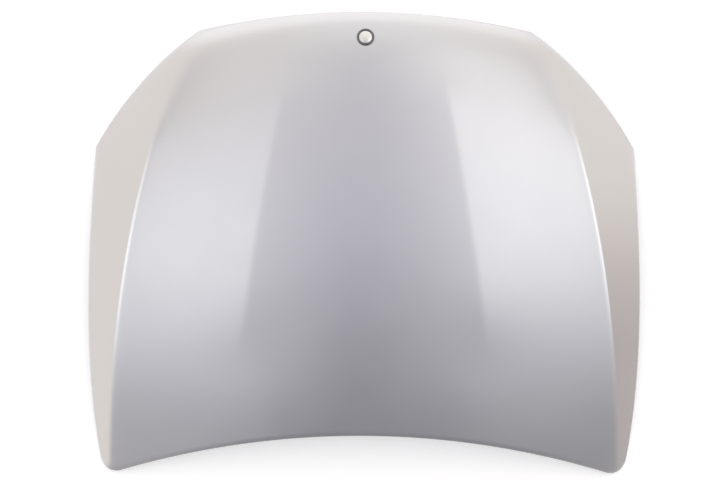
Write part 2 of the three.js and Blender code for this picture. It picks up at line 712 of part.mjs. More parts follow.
function innerFrame() {
  const sheet = new Sheet();
  const rows = halfGrid(FRAME_WEB_FOOT, FRAME_GRIP);
  const grid = fullGrid(sheet, rows, channelFloor);
  const blocksAcross = CREASE_COLUMN / BLOCK;
  const blocksAlong = ROWS / BLOCK;
  const plain = (row, column) => sheet.quad(...gridQuad(grid, row, column));
  for (let blockRow = 0; blockRow < blocksAlong; blockRow++) {
    const row = blockRow * BLOCK;
    for (let block = -blocksAcross; block < blocksAcross; block++) {
      const column = block * BLOCK;
      const place = block < 0 ? -block - 1 : block;
      const border = blockBorder(row, column, BLOCK, BLOCK).map(([r, c]) => grid(r, c));
      const shape = blockShape(rows, row, column);
      const inMiddle = blockRow > 0 && blockRow < blocksAlong - 1;
      if (inMiddle) addOpening(sheet, border, shape);
      else if (blockRow === 0 && place === STRIKER_BLOCK) addPad(sheet, border, shape, strikerPad);
      else if (blockRow > 0 && place === HINGE_BLOCK) addPad(sheet, border, shape, hingePad);
      else {
        for (let r = row; r < row + BLOCK; r++) {
          for (let c = column; c < column + BLOCK; c++) plain(r, c);
        }
      }
    }
  }
  for (let row = 0; row < ROWS; row++) {
    for (let column = CREASE_COLUMN; column < HALF_COLUMNS; column++) {
      plain(row, column);
      plain(row, -column - 1);
    }
  }
  for (const [row, column] of BUFFER_PLACES) {
    frameBuffers.push(sheet.seat(...gridQuad(grid, row, column)));
    frameBuffers.push(sheet.seat(...gridQuad(grid, row, -column - 1)));
  }
  const inHem = (x, s) => behindSkin(x, s, BEHIND_SKIN);
  const rings = [
    panelBorder().map(([row, column]) => grid(row, column)),
    fullRing(sheet, GRID_INSET, inHem),
    fullRing(sheet, FRAME_EDGE_INSET, inHem),
  ];
  for (let k = 0; k < rings.length - 1; k++) sheet.band(rings[k + 1], rings[k]);
  return sheet.thickened(FRAME_THICKNESS);
}

// Upright round bar or hexagon from one height to another
function upright(diameter, low, high, sides) {
  const geometry = new THREE.CylinderGeometry(diameter / 2, diameter / 2, high - low, sides);
  geometry.rotateX(Math.PI / 2);
  geometry.translate(0, 0, (low + high) / 2);
  return geometry;
}

// Plan outline through corner points
function outlineOf(points) {
  return new THREE.Shape(points.map(([x, y]) => new THREE.Vector2(x, y)));
}

// Extruded outline with round upright holes, its underside at zero height
function punched(shape, holes, thickness) {
  for (const [y, diameter] of holes) {
    const hole = new THREE.Path();
    hole.absarc(0, y, diameter / 2, 0, 2 * Math.PI, true);
    shape.holes.push(hole);
  }
  const settings = { depth: thickness, bevelEnabled: false, curveSegments: HOLE_CURVE_SEGMENTS };
  return new THREE.ExtrudeGeometry(shape, settings);
}

function plate(width, length, thickness, holes) {
  const x = width / 2;
  const y = length / 2;
  const cut = PLATE_CORNER_CUT;
  const corners = [[x - cut, -y], [x, cut - y], [x, y - cut], [x - cut, y]];
  const mirrored = corners.map(([cornerX, cornerY]) => [-cornerX, cornerY]).reverse();
  return punched(outlineOf([...corners, ...mirrored]), holes, thickness);
}

function hexNut(across, bore, height) {
  const reach = across / Math.sqrt(3);
  const corners = [];
  for (let angle = 0; angle < 6; angle++) {
    corners.push([reach * Math.cos(angle * Math.PI / 3), reach * Math.sin(angle * Math.PI / 3)]);
  }
  return punched(outlineOf(corners), [[0, bore]], height);
}

// Hexagon bolt with its head below and its shank above zero height
function bolt(diameter, headAcross, headHeight, shank) {
  return united(
    upright(headAcross * 2 / Math.sqrt(3), -headHeight, 0, 6),
    upright(diameter, -headHeight / 2, shank, SHANK_SIDES),
  );
}

const UP = new THREE.Vector3(0, 0, 1);
const group = new THREE.Group();
group.name = "bonnet";

// Mesh with a crease at every real edge, named and hung in its group
function addPiece(parent, name, geometry, material) {
  const bare = geometry.clone();
  bare.deleteAttribute("uv");
  const mesh = new THREE.Mesh(toCreasedNormals(bare, SHARP_EDGE), material);
  mesh.name = name;
  parent.add(mesh);
  return mesh;
}

// Group whose +Z axis points along a normal, standing at a point of the panel
function standing(name, centre, normal) {
  const stand = new THREE.Group();
  stand.name = name;
  stand.position.copy(centre);
  stand.quaternion.setFromUnitVectors(UP, normal);
  group.add(stand);
  return stand;
}

const skinGeometry = outerSkin();
const frameGeometry = innerFrame();

// Cutter for a round hole through a sheet, at the foot of a stand or beside it, along the stand's axis
function holeThrough(stand, diameter, y = 0) {
  stand.updateMatrix();
  const cutter = upright(diameter, -CUTTER_REACH, CUTTER_REACH, HOLE_SIDES);
  return cutter.translate(0, y, 0).applyMatrix4(stand.matrix);
}

// Hinge corners: plate and trapped nuts above the pad, bolts through it from below
function addHinge(pad) {
  const stand = standing(`hinge_${pad.side}`, pad.centre, UP);
  const boltY = [HINGE_BOLT_SPACING / 2, -HINGE_BOLT_SPACING / 2];
  const holes = boltY.map((y) => [y, HINGE_BOLT_HOLE]);
  const plateMesh = addPiece(
    stand,
    `hinge_plate_${pad.side}`,
    plate(HINGE_PLATE_WIDTH, HINGE_PLATE_LENGTH, HINGE_PLATE_THICKNESS, holes),
    zinc,
  );
  plateMesh.position.z = SEAT_GAP;
  const nutLow = SEAT_GAP + HINGE_PLATE_THICKNESS + SEAT_GAP;
  const below = FRAME_THICKNESS + SEAT_GAP;
  boltY.forEach((y, k) => {
    const end = k === 0 ? "front" : "rear";
    const nut = addPiece(
      stand,
      `hinge_nut_${pad.side}_${end}`,
      hexNut(WELD_NUT_ACROSS, HINGE_BOLT + 2 * SEAT_GAP, WELD_NUT_HEIGHT),
      zinc,
    );
    nut.position.set(0, y, nutLow);
    const shank = below + nutLow + WELD_NUT_HEIGHT;
    const screw = addPiece(
      stand,
      `hinge_bolt_${pad.side}_${end}`,
      bolt(HINGE_BOLT, WELD_NUT_ACROSS, HINGE_BOLT_HEAD, shank),
      zinc,
    );
    screw.position.set(0, y, -below);
  });
  return boltY.map((y) => holeThrough(stand, HINGE_BOLT_HOLE, y));
}

// Strikers: backing plate above the pad, base plate and rod loop below it, two bolts
function addStriker(pad) {
  const stand = standing(`striker_${pad.side}`, pad.centre, UP);
  const boltY = [STRIKER_BOLT_SPACING / 2, -STRIKER_BOLT_SPACING / 2];
  const holes = boltY.map((y) => [y, STRIKER_BOLT + BOLT_HOLE_CLEARANCE]);
  const flat = () => plate(STRIKER_PLATE_WIDTH, STRIKER_PLATE_LENGTH, STRIKER_PLATE_THICKNESS, holes);
  addPiece(stand, `striker_backing_${pad.side}`, flat(), zinc).position.z = SEAT_GAP;
  const baseZ = -FRAME_THICKNESS - SEAT_GAP - STRIKER_PLATE_THICKNESS;
  addPiece(stand, `striker_base_${pad.side}`, flat(), zinc).position.z = baseZ;
  boltY.forEach((y, k) => {
    const shank = SEAT_GAP - baseZ + SEAT_GAP + STRIKER_PLATE_THICKNESS + BOLT_TAIL;
    const screw = addPiece(
      stand,
      `striker_bolt_${pad.side}_${k === 0 ? "front" : "rear"}`,
      bolt(STRIKER_BOLT, BOLT_HEAD_ACROSS, BOLT_HEAD_HEIGHT, shank),
      zinc,
    );
    screw.position.set(0, y, baseZ - SEAT_GAP);
  });
  const half = STRIKER_SPAN / 2;
  const at = (y, z) => new THREE.Vector3(0, y, z);
  const corners = [at(half, -STRIKER_REACH), at(-half, -STRIKER_REACH)];
  const bends = corners.map(({ y, z }) => [
    at(y, z + STRIKER_BEND),
    at(y, z),
    at(y - Math.sign(y) * STRIKER_BEND, z),
  ]);
  bends[1].reverse();
  const path = new THREE.CurvePath();
  path.add(new THREE.LineCurve3(at(half, 0), bends[0][0]));
  path.add(new THREE.QuadraticBezierCurve3(...bends[0]));
  path.add(new THREE.LineCurve3(bends[0][2], bends[1][0]));
  path.add(new THREE.QuadraticBezierCurve3(...bends[1]));
  path.add(new THREE.LineCurve3(bends[1][2], at(-half, 0)));
  const section = new THREE.Shape();
  section.absarc(0, 0, STRIKER_ROD / 2, 0, 2 * Math.PI, false);
  const settings = { steps: ROD_STEPS, extrudePath: path, curveSegments: ROD_CURVE_SEGMENTS };
  const rod = new THREE.ExtrudeGeometry(section, settings);
  addPiece(stand, `striker_loop_${pad.side}`, rod, zinc).position.z = baseZ - SEAT_GAP;
  return boltY.map((y) => holeThrough(stand, STRIKER_BOLT + BOLT_HOLE_CLEARANCE, y));
}

// Rubber stop buffer: a domed foot below the frame and a stem pushed up through it
function addBuffer(seat, index) {
  const side = seat.centre.x < 0 ? "left" : "right";
  const name = `buffer_${index < 2 ? "front" : "side"}_${side}`;
  const stand = standing(name, seat.centre, seat.normal);
  const top = -FRAME_THICKNESS - SEAT_GAP;
  const outline = [
    [0, top - BUFFER_HEIGHT],
    [BUFFER_TIP / 2, top - BUFFER_HEIGHT],
    [BUFFER_SHOULDER / 2, top - BUFFER_HEIGHT + BUFFER_SHOULDER_RISE],
    [BUFFER_DIAMETER / 2, top - BUFFER_HEIGHT + BUFFER_BELLY_RISE],
    [BUFFER_DIAMETER / 2, top],
    [BUFFER_STEM / 2, top],
    [BUFFER_STEM / 2, BUFFER_STEM_LENGTH],
    [0, BUFFER_STEM_LENGTH],
  ];
  addPiece(stand, `stop_${name}`, turned(outline, BUFFER_SIDES), rubber);
  return holeThrough(stand, BUFFER_STEM + 2 * SEAT_GAP);
}

// Solid turned about the Z axis from an outline of radius and height
function turned(outline, segments) {
  const geometry = new THREE.LatheGeometry(outline.map(([r, z]) => new THREE.Vector2(r, z)), segments);
  geometry.rotateX(Math.PI / 2);
  return geometry;
}

// Bead of mastic between an opening's rim and the skin
function addBead(seat, index) {
  const stand = standing(`bead_stand_${index + 1}`, seat.centre, seat.normal);
  const bead = upright(BEAD_DIAMETER, SEAT_GAP, RIM_DEPTH - 2 * SEAT_GAP, BEAD_SIDES);
  addPiece(stand, `mastic_bead_${index + 1}`, bead, mastic);
}

// Badge: ring that follows the skin, plain domed disc with a pin, and its clip behind the skin
function addBadge() {
  const centre = skinPoint(0, BADGE_S);
  const normal = skinNormal(0, BADGE_S);
  const stand = standing("badge", centre, normal);
  const outer = BADGE_DIAMETER / 2;
  const inner = outer - BADGE_RING_WIDTH;
  const ring = turned([
    [inner, 0],
    [outer, 0],
    [outer, BADGE_RING_OUTER_SIDE],
    [outer - BADGE_RING_CHAMFER, BADGE_RING_HEIGHT],
    [inner + BADGE_RING_CHAMFER, BADGE_RING_HEIGHT],
    [inner, BADGE_RING_INNER_SIDE],
    [inner, 0],
  ], BADGE_RING_SIDES);
  const position = ring.attributes.position;
  stand.updateMatrix();
  const toStand = stand.matrix.clone().invert();
  for (let k = 0; k < position.count; k++) {
    if (Math.abs(position.getZ(k)) > 1e-6) continue;
    const world = new THREE.Vector3().fromBufferAttribute(position, k).applyMatrix4(stand.matrix);
    const seated = behindSkin(world.x, -world.y, -SEAT_GAP).applyMatrix4(toStand);
    position.setZ(k, seated.z);
  }
  addPiece(stand, "badge_ring", ring, darkGloss);
  const radius = inner - SEAT_GAP;
  const dome = [1, 2 / 3, 1 / 3, 0].map((share) => [
    radius * share,
    BADGE_DISC_EDGE + BADGE_DISC_DOME * (1 - share ** 2),
  ]);
  const disc = turned([
    [0, -BADGE_PIN_LENGTH],
    [BADGE_PIN / 2, -BADGE_PIN_LENGTH],
    [BADGE_PIN / 2, SEAT_GAP],
    [radius, SEAT_GAP],
    ...dome,
  ], BADGE_DISC_SIDES);
  addPiece(stand, "badge_disc", disc, brightTrim);
  const bore = BADGE_PIN / 2 + SEAT_GAP;
  const clipTop = -SKIN_THICKNESS - 2 * SEAT_GAP;
  const clip = turned([
    [bore, clipTop - BADGE_CLIP_THICKNESS],
    [BADGE_CLIP_DIAMETER / 2, clipTop - BADGE_CLIP_THICKNESS],
    [BADGE_CLIP_DIAMETER / 2, clipTop],
    [bore, clipTop],
    [bore, clipTop - BADGE_CLIP_THICKNESS],
  ], BADGE_CLIP_SIDES);
  addPiece(stand, "badge_clip", clip, plastic);
  return holeThrough(stand, BADGE_PIN + 2 * SEAT_GAP);
}

const skinHoles = [addBadge()];
const frameHoles = [
  ...framePads.filter((pad) => pad.kind === "hinge").flatMap(addHinge),
  ...framePads.filter((pad) => pad.kind === "striker").flatMap(addStriker),
  ...frameBuffers.map(addBuffer),
];
frameBeads.forEach(addBead);
addPiece(group, "outer_skin", pierced(skinGeometry, skinHoles), paint);
addPiece(group, "inner_frame", pierced(frameGeometry, frameHoles), innerPaint);

// The panel lies on its lowest corners, centred over the origin
const box = new THREE.Box3().setFromObject(group, true);
group.position.set(0, -(box.min.y + box.max.y) / 2, -box.min.z);

export default group;
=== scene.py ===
import json
import math

import bpy
from bpy.props import FloatProperty, FloatVectorProperty, PointerProperty
from mathutils import Matrix, Vector

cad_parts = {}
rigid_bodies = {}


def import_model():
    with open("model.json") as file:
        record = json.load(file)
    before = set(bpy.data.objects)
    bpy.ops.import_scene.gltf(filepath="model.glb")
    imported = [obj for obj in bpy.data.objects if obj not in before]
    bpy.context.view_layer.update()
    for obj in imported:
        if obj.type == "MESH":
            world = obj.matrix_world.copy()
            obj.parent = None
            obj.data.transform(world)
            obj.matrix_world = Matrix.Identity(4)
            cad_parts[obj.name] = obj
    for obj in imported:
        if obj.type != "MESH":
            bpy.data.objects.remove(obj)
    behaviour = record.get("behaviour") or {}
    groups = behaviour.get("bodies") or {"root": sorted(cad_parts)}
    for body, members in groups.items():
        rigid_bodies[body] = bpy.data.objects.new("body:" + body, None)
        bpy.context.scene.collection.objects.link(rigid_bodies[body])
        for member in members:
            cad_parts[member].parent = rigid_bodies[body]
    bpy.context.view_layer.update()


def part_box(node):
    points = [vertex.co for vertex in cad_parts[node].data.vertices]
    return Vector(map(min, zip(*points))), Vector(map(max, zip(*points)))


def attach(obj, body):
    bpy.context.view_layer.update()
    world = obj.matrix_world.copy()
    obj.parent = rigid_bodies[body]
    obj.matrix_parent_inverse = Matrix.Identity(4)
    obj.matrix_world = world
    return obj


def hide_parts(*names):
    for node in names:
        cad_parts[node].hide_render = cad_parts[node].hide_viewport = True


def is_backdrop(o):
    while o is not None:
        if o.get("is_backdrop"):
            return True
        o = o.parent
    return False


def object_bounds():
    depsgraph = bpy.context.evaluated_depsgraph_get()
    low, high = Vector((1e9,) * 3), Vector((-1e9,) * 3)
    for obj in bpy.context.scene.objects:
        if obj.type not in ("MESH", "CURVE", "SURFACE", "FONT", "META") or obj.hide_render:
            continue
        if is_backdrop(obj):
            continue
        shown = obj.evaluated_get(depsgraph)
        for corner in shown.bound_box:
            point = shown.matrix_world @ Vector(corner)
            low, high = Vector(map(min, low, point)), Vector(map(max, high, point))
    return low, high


bl_info = {
    "name": "Car bonnet",
    "version": (1, 0, 0),
    "blender": (4, 5, 0),
    "location": "View3D > Sidebar > Bonnet",
    "description": "Dresses the packed bonnet: painted skin, pressed inner frame, badge and fittings",
    "category": "Object",
}

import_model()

MM = 0.001

# Camera: picture width and shift in picture points, sensor in millimetres, target in metres
PICTURE_WIDTH = 720
PICTURE_SHIFT = (-4.5, 5)
SENSOR_WIDTH = 36
CAMERA_TARGET = Vector((0, -0.0053, 0.0415))
FLOOR_SIZE = 30

# Where the tip of the nose lies over the floor, in millimetres
NOSE_PLACE = Vector((0, 602.17, 1.53))

# Outline of the panel in plan, in millimetres: x from the centre line, s rearwards from the nose
FRONT_BOW = 40
GRILLE_CORNER_X = 440
HEADLAMP_BOW = 22
WING_CORNER = (719, 344)
SIDE_STATIONS = ((344, 719), (590, 726), (990, 717), (1217, 684))
REAR_CORNER = (684, 1217)
REAR_CENTRE_S = 1106
CORNER_ROUND = 52

# Curves: reach of a handle for a round corner and for a bow, and the step over which a slope is measured
CORNER_HANDLE = 0.56
CUBIC_BOW = 4 / 3
SLOPE_STEP = 0.5

# Feature lines and heights, in millimetres
OUTER_CREASE = ((40, 453), (320, 548), (760, 637), (1188, 669))
INNER_CREASE = ((150, 200), (550, 272), (950, 329))
INNER_CREASE_SPAN = (120, 980)
INNER_CREASE_FADE = 300
INNER_CREASE_KINK = 0.06
INNER_CREASE_WIDTH = 8
CENTRE_HEIGHT = ((0, 141), (560, 168), (1120, 118))
CREASE_HEIGHT = ((45, 86), (600, 111), (1205, 8))
FLANK_KINK = ((200, 0.449), (700, 0.5), (1200, 0.4))
CREASE_SHARP_WIDTH = 7
CREASE_SOFT_WIDTH = 42
CREASE_SHARPENS = (140, 260)
NOSE_ROLL = 0.75
NOSE_ROLL_DISTANCE = 20
NOSE_ROLL_WIDTH = 45

# Sheets, hem and frame, in millimetres; a pad is its half width, half length and drop
SKIN_THICKNESS = 1
FRAME_THICKNESS = 0.9
HEM_GAP = 0.45
HEM_FLANGE = 11
FRAME_EDGE_INSETS = (8, 3.2)
FRAME_WEB_FOOT = 20
FRAME_DEPTH = 17
FRAME_FLANK_DEPTH = 9
FRAME_DEPTH_BLEND = 50
FRAME_BRIDGE = 25
OPENING_LIMIT = 68
OPENING_RIM = 13
OPENING_WEB = 9
RIB_HALF_WIDTH = 16
RIM_DEPTH = 4
OPENING_SQUARENESS = 3.4
STRIKER_PAD = (24, 37, 3)
HINGE_PAD = (34, 46, 5)
PAD_BLEND = 9

# Grids of the two sheets: columns of one half, rows, and how they spread and keep to the feature lines
SKIN_PLAN = {
    "centre": 26, "field": 44, "flank": 24, "rows": 110, "round_columns": 8, "row_spread": 1.15,
    "gather": 0.4,
}
FRAME_PLAN = {"centre": 18, "field": 18, "flank": 18, "rows": 40, "round_columns": 6, "row_spread": 1.3}
CREASE_ON_ROUND = 0.5
CUT_SPREAD = 1.4
SKIN_GRIP = 10
FRAME_GRIP = 2
WEB_STEPS = 6
HEM_STEPS = 6
BLOCKS_ALONG = 5
BLOCKS_ACROSS = 3

# Fittings: sizes in millimetres, sides and steps; a profile lists radii and heights from the piece's foot
FITTING_COUNT = 18
STRIKER_SPAN = 28
STRIKER_REACH = 38
STRIKER_BEND = 9
STRIKER_ROD = 8
ROD_SIDES = 24
ROD_BEND_STEPS = 10
BUFFER_PROFILE = (
    (0, -19.2), (5.2, -19.2), (6.5, -18.8), (8.2, -17.9), (9.3, -16.8), (10.2, -14.8), (10.8, -12.6),
    (11, -10.8), (11, -7.5), (10.7, -7.2), (4.5, -7.2), (4.5, -0.6), (3.9, 0), (0, 0),
)
BEAD_PROFILE = ((0, 0), (3.9, 0), (4.5, 0.5), (4.7, 1.3), (4.6, 2.2), (4.1, 3), (3.4, 3.1), (0, 3.1))
BADGE_RING_HEIGHT = 4
BADGE_RING_PROFILE = (
    (17.2, 0.5), (23, 0.5), (23, 1.6), (22.8, 2.6), (22.2, 3.5), (21.2, 4), (19.2, 4), (18.2, 3.7),
    (17.4, 3.1), (17.2, 2.4),
)
BADGE_DISC_PROFILE = (
    (0, -9), (3.4, -9), (4, -8.4), (4, 0.5), (16.9, 0.5), (16.9, 2.1), (15.6, 2.5), (13.5, 2.85), (10.5, 3.3),
    (7, 3.7), (3.5, 3.92), (0, 4),
)
BADGE_CLIP_PROFILE = ((4.3, -3.1), (10, -3.1), (10, -1.6), (4.3, -1.6))
BUFFER_STEPS = 48
BEAD_STEPS = 32
BADGE_STEPS = 72

# Broken edges in millimetres, and the angles in degrees from which an edge is broken
BOLT_BEVEL = 0.6
PLATE_BEVEL = 0.4
BADGE_BEVEL = 0.25
PLATE_BEVEL_ANGLE = 35
BADGE_BEVEL_ANGLE = 30
BEVEL_SEGMENTS = 2

# Angles in degrees under which faces are shaded as one surface
SHEET_SMOOTH = 40
PLATE_SMOOTH = 35
ROD_SMOOTH = 50
BEAD_SMOOTH = 60

# Points closer than this, in metres, are merged, and faces flatter than this, in degrees, are joined
MERGE = 0.00001
CAD_MERGE = 0.00002
CAD_FLAT_ANGLE = 2

# Paint: contrast of the flakes, gloss between light and heavy spray, and the lacquer's waves in millimetres
FLAKE_CONTRAST = 0.025
DRIFTS_PER_METRE = 7.0
PAINT_ROUGH = (0.21, 0.24)
LACQUER_WAVE = 6
LACQUER_RELIEF = 0.01
LACQUER_STRENGTH = 0.02

# Grain of the other finishes: the span of values that a noise pattern fills, and the strength of its relief
NOISE_RANGE = (0.3, 0.7)
GRAIN_STRENGTH = 0.3

# Tones of the studio light by place, from the scuttle side (0) to the nose side (1), both ends first:
# the strip overhead between the soft boxes, and the soft box on each side
STRIP_STOPS = (
    (0.0, "#6e6e73"), (1.0, "#dedede"), (0.13, "#6b6b71"), (0.2, "#72727a"), (0.3, "#96949d"),
    (0.37, "#a7a5ae"), (0.53, "#b0aeb4"), (0.61, "#c2bfbe"), (0.72, "#dad9d7"),
)
LEFT_BOX_STOPS = (
    (0.0, "#8c8c90"), (1.0, "#e3e3e3"), (0.12, "#a1a1a5"), (0.21, "#cecdd2"), (0.3, "#e4e4e7"),
    (0.38, "#ececef"), (0.6, "#d1cdcb"), (0.75, "#d1cdc8"),
)
RIGHT_BOX_STOPS = (
    (0.0, "#7a7a7e"), (1.0, "#ececec"), (0.07, "#8e8e91"), (0.16, "#b4b4b9"), (0.26, "#dddde0"),
    (0.36, "#f8f8f9"), (0.52, "#f9f7f6"), (0.7, "#d7d3cf"),
)
LEFT_WALL = "#d8d1ca"
RIGHT_WALL = "#d9d2cb"
NOSE_WALL = "#f3f1ee"
DIM_CORNER = "#a9a09a"
REAR_WALL = "#a09d9a"
BOX_EDGE_TONE = (0.8, 0.8, 0.8, 1)
CREASE_LAMP = (0.5, 0.5, 0.5, 1)

# Where each part of the light fades in: ahead counts 0 to 1 to the nose, aside and up are shares of a unit
# direction, and a pair that falls fades out
AHEAD_RANGE = (-0.5, 1.0)
LEFT_TO_RIGHT = (-0.1, 0.1)
BOX_ASIDE = (0.13, 0.5)
BOX_SHARP_ASIDE = (0.19, 0.255)
BOX_SHARP_AHEAD = (0.08, 0.2)
GLIMMER_ASIDE = (0.01, 0.17)
GLIMMER = 0.46
BOX_EDGE_ASIDE = (0.41, 0.54)
BOX_EDGE_AHEAD = (0.16, 0.34)
DIM_CORNER_ASIDE = (0.3, 0.8)
DIM_CORNER_AHEAD = (0.52, 0.24)
NOSE_WALL_AHEAD = (0.8, 0.95)
REAR_WALL_AHEAD = (0.1, 0.0)
WALL_UP = (0.75, 0.4)
LAMP_ASIDE_IN = (0.58, 0.68)
LAMP_ASIDE_OUT = (0.84, 0.76)
LAMP_AHEAD_IN = (0.18, 0.34)
LAMP_AHEAD_OUT = (0.66, 0.46)
LAMP_UP = (0.25, 0.45)

BEHIND_SKIN = SKIN_THICKNESS + HEM_GAP
GRID_INSET = HEM_FLANGE + SKIN_THICKNESS
HEM_RADIUS = HEM_GAP + FRAME_THICKNESS / 2 + SKIN_THICKNESS


def curve_through(at, stations):
    """Smooth curve through a few stations, each a distance and its value."""
    total = 0.0
    for station, value in stations:
        weight = value
        for other, _ in stations:
            if other != station:
                weight *= (at - other) / (station - other)
        total += weight
    return total


def rounded_ramp(distance, width):
    return 0.5 * (distance + math.hypot(distance, width))


def fade(t):
    u = min(max(t, 0.0), 1.0)
    return u * u * u * (10 - 15 * u + 6 * u * u)


def mix(a, b, t):
    return a + (b - a) * t


def front_s(x):
    return FRONT_BOW * (x / GRILLE_CORNER_X) ** 2


def rear_s(x):
    return REAR_CENTRE_S + (REAR_CORNER[1] - REAR_CENTRE_S) * (x / REAR_CORNER[0]) ** 2


def outer_crease_x(s):
    return curve_through(s, OUTER_CREASE)


def inner_crease_x(s):
    return curve_through(s, INNER_CREASE)


def side_x(s):
    return curve_through(s, SIDE_STATIONS)


def skin_height(x, s):
    """Height of the painted surface over the plan."""
    side = abs(x)
    kink = INNER_CREASE_KINK
    kink *= fade((s - INNER_CREASE_SPAN[0]) / INNER_CREASE_FADE * 2)
    kink *= fade((INNER_CREASE_SPAN[1] - s) / INNER_CREASE_FADE)
    crease_x = outer_crease_x(s)
    inner_x = inner_crease_x(s)
    centre = curve_through(s, CENTRE_HEIGHT)
    drop = centre - curve_through(s, CREASE_HEIGHT) - kink * (crease_x - inner_x)
    sharpness = fade((s - CREASE_SHARPENS[0]) / CREASE_SHARPENS[1])
    crease_width = mix(CREASE_SOFT_WIDTH, CREASE_SHARP_WIDTH, sharpness)
    nose = NOSE_ROLL_DISTANCE - (s - front_s(side))
    height = centre - drop * (side / crease_x) ** 2
    height -= kink * rounded_ramp(side - inner_x, INNER_CREASE_WIDTH)
    height -= curve_through(s, FLANK_KINK) * rounded_ramp(side - crease_x, crease_width)
    return height - NOSE_ROLL * rounded_ramp(nose, NOSE_ROLL_WIDTH)


def behind_skin(x, s, depth, step=SLOPE_STEP):
    """Point a given depth behind the painted surface, measured square to it."""
    slope_x = (skin_height(x + step, s) - skin_height(x - step, s)) / (2 * step)
    slope_s = (skin_height(x, s + step) - skin_height(x, s - step)) / (2 * step)
    normal = Vector((-slope_x, slope_s, 1)).normalized()
    return Vector((x, -s, skin_height(x, s))) - normal * depth


def frame_behind(x, s, depth):
    return behind_skin(x, s, BEHIND_SKIN + depth, FRAME_BRIDGE)


def channel_depth(x, s):
    outside = fade((abs(x) - outer_crease_x(s)) / FRAME_DEPTH_BLEND + 0.5)
    return mix(FRAME_DEPTH, FRAME_FLANK_DEPTH, outside)


def channel_floor(x, s):
    return frame_behind(x, s, channel_depth(x, s))


def bezier(points, t):
    a, b, c, d = (Vector(p) for p in points)
    u = 1 - t
    return u ** 3 * a + 3 * u * u * t * b + 3 * u * t * t * c + t ** 3 * d


def corner_round():
    """Control points of the rounded rear corner between the rear edge and the side edge."""
    corner_x, corner_s = REAR_CORNER
    rear_rise = rear_s(corner_x + SLOPE_STEP) - rear_s(corner_x - SLOPE_STEP)
    side_rise = side_x(corner_s - SLOPE_STEP) - side_x(corner_s + SLOPE_STEP)
    rear_way = Vector((2 * SLOPE_STEP, rear_rise)).normalized()
    side_way = Vector((side_rise, -2 * SLOPE_STEP)).normalized()
    start_x = corner_x - CORNER_ROUND * rear_way.x
    end_s = corner_s + CORNER_ROUND * side_way.y
    start = Vector((start_x, rear_s(start_x)))
    end = Vector((side_x(end_s), end_s))
    handle = CORNER_HANDLE * CORNER_ROUND
    return start, start + handle * rear_way, end - handle * side_way, end


def headlamp_cut():
    """Control points of the bowed cut from the grille corner to the wing corner."""
    start = Vector((GRILLE_CORNER_X, FRONT_BOW))
    end = Vector(WING_CORNER)
    chord = end - start
    outward = Vector((chord.y, -chord.x)).normalized() * HEADLAMP_BOW * CUBIC_BOW
    return start, start + chord / 3 + outward, end - chord / 3 + outward, end


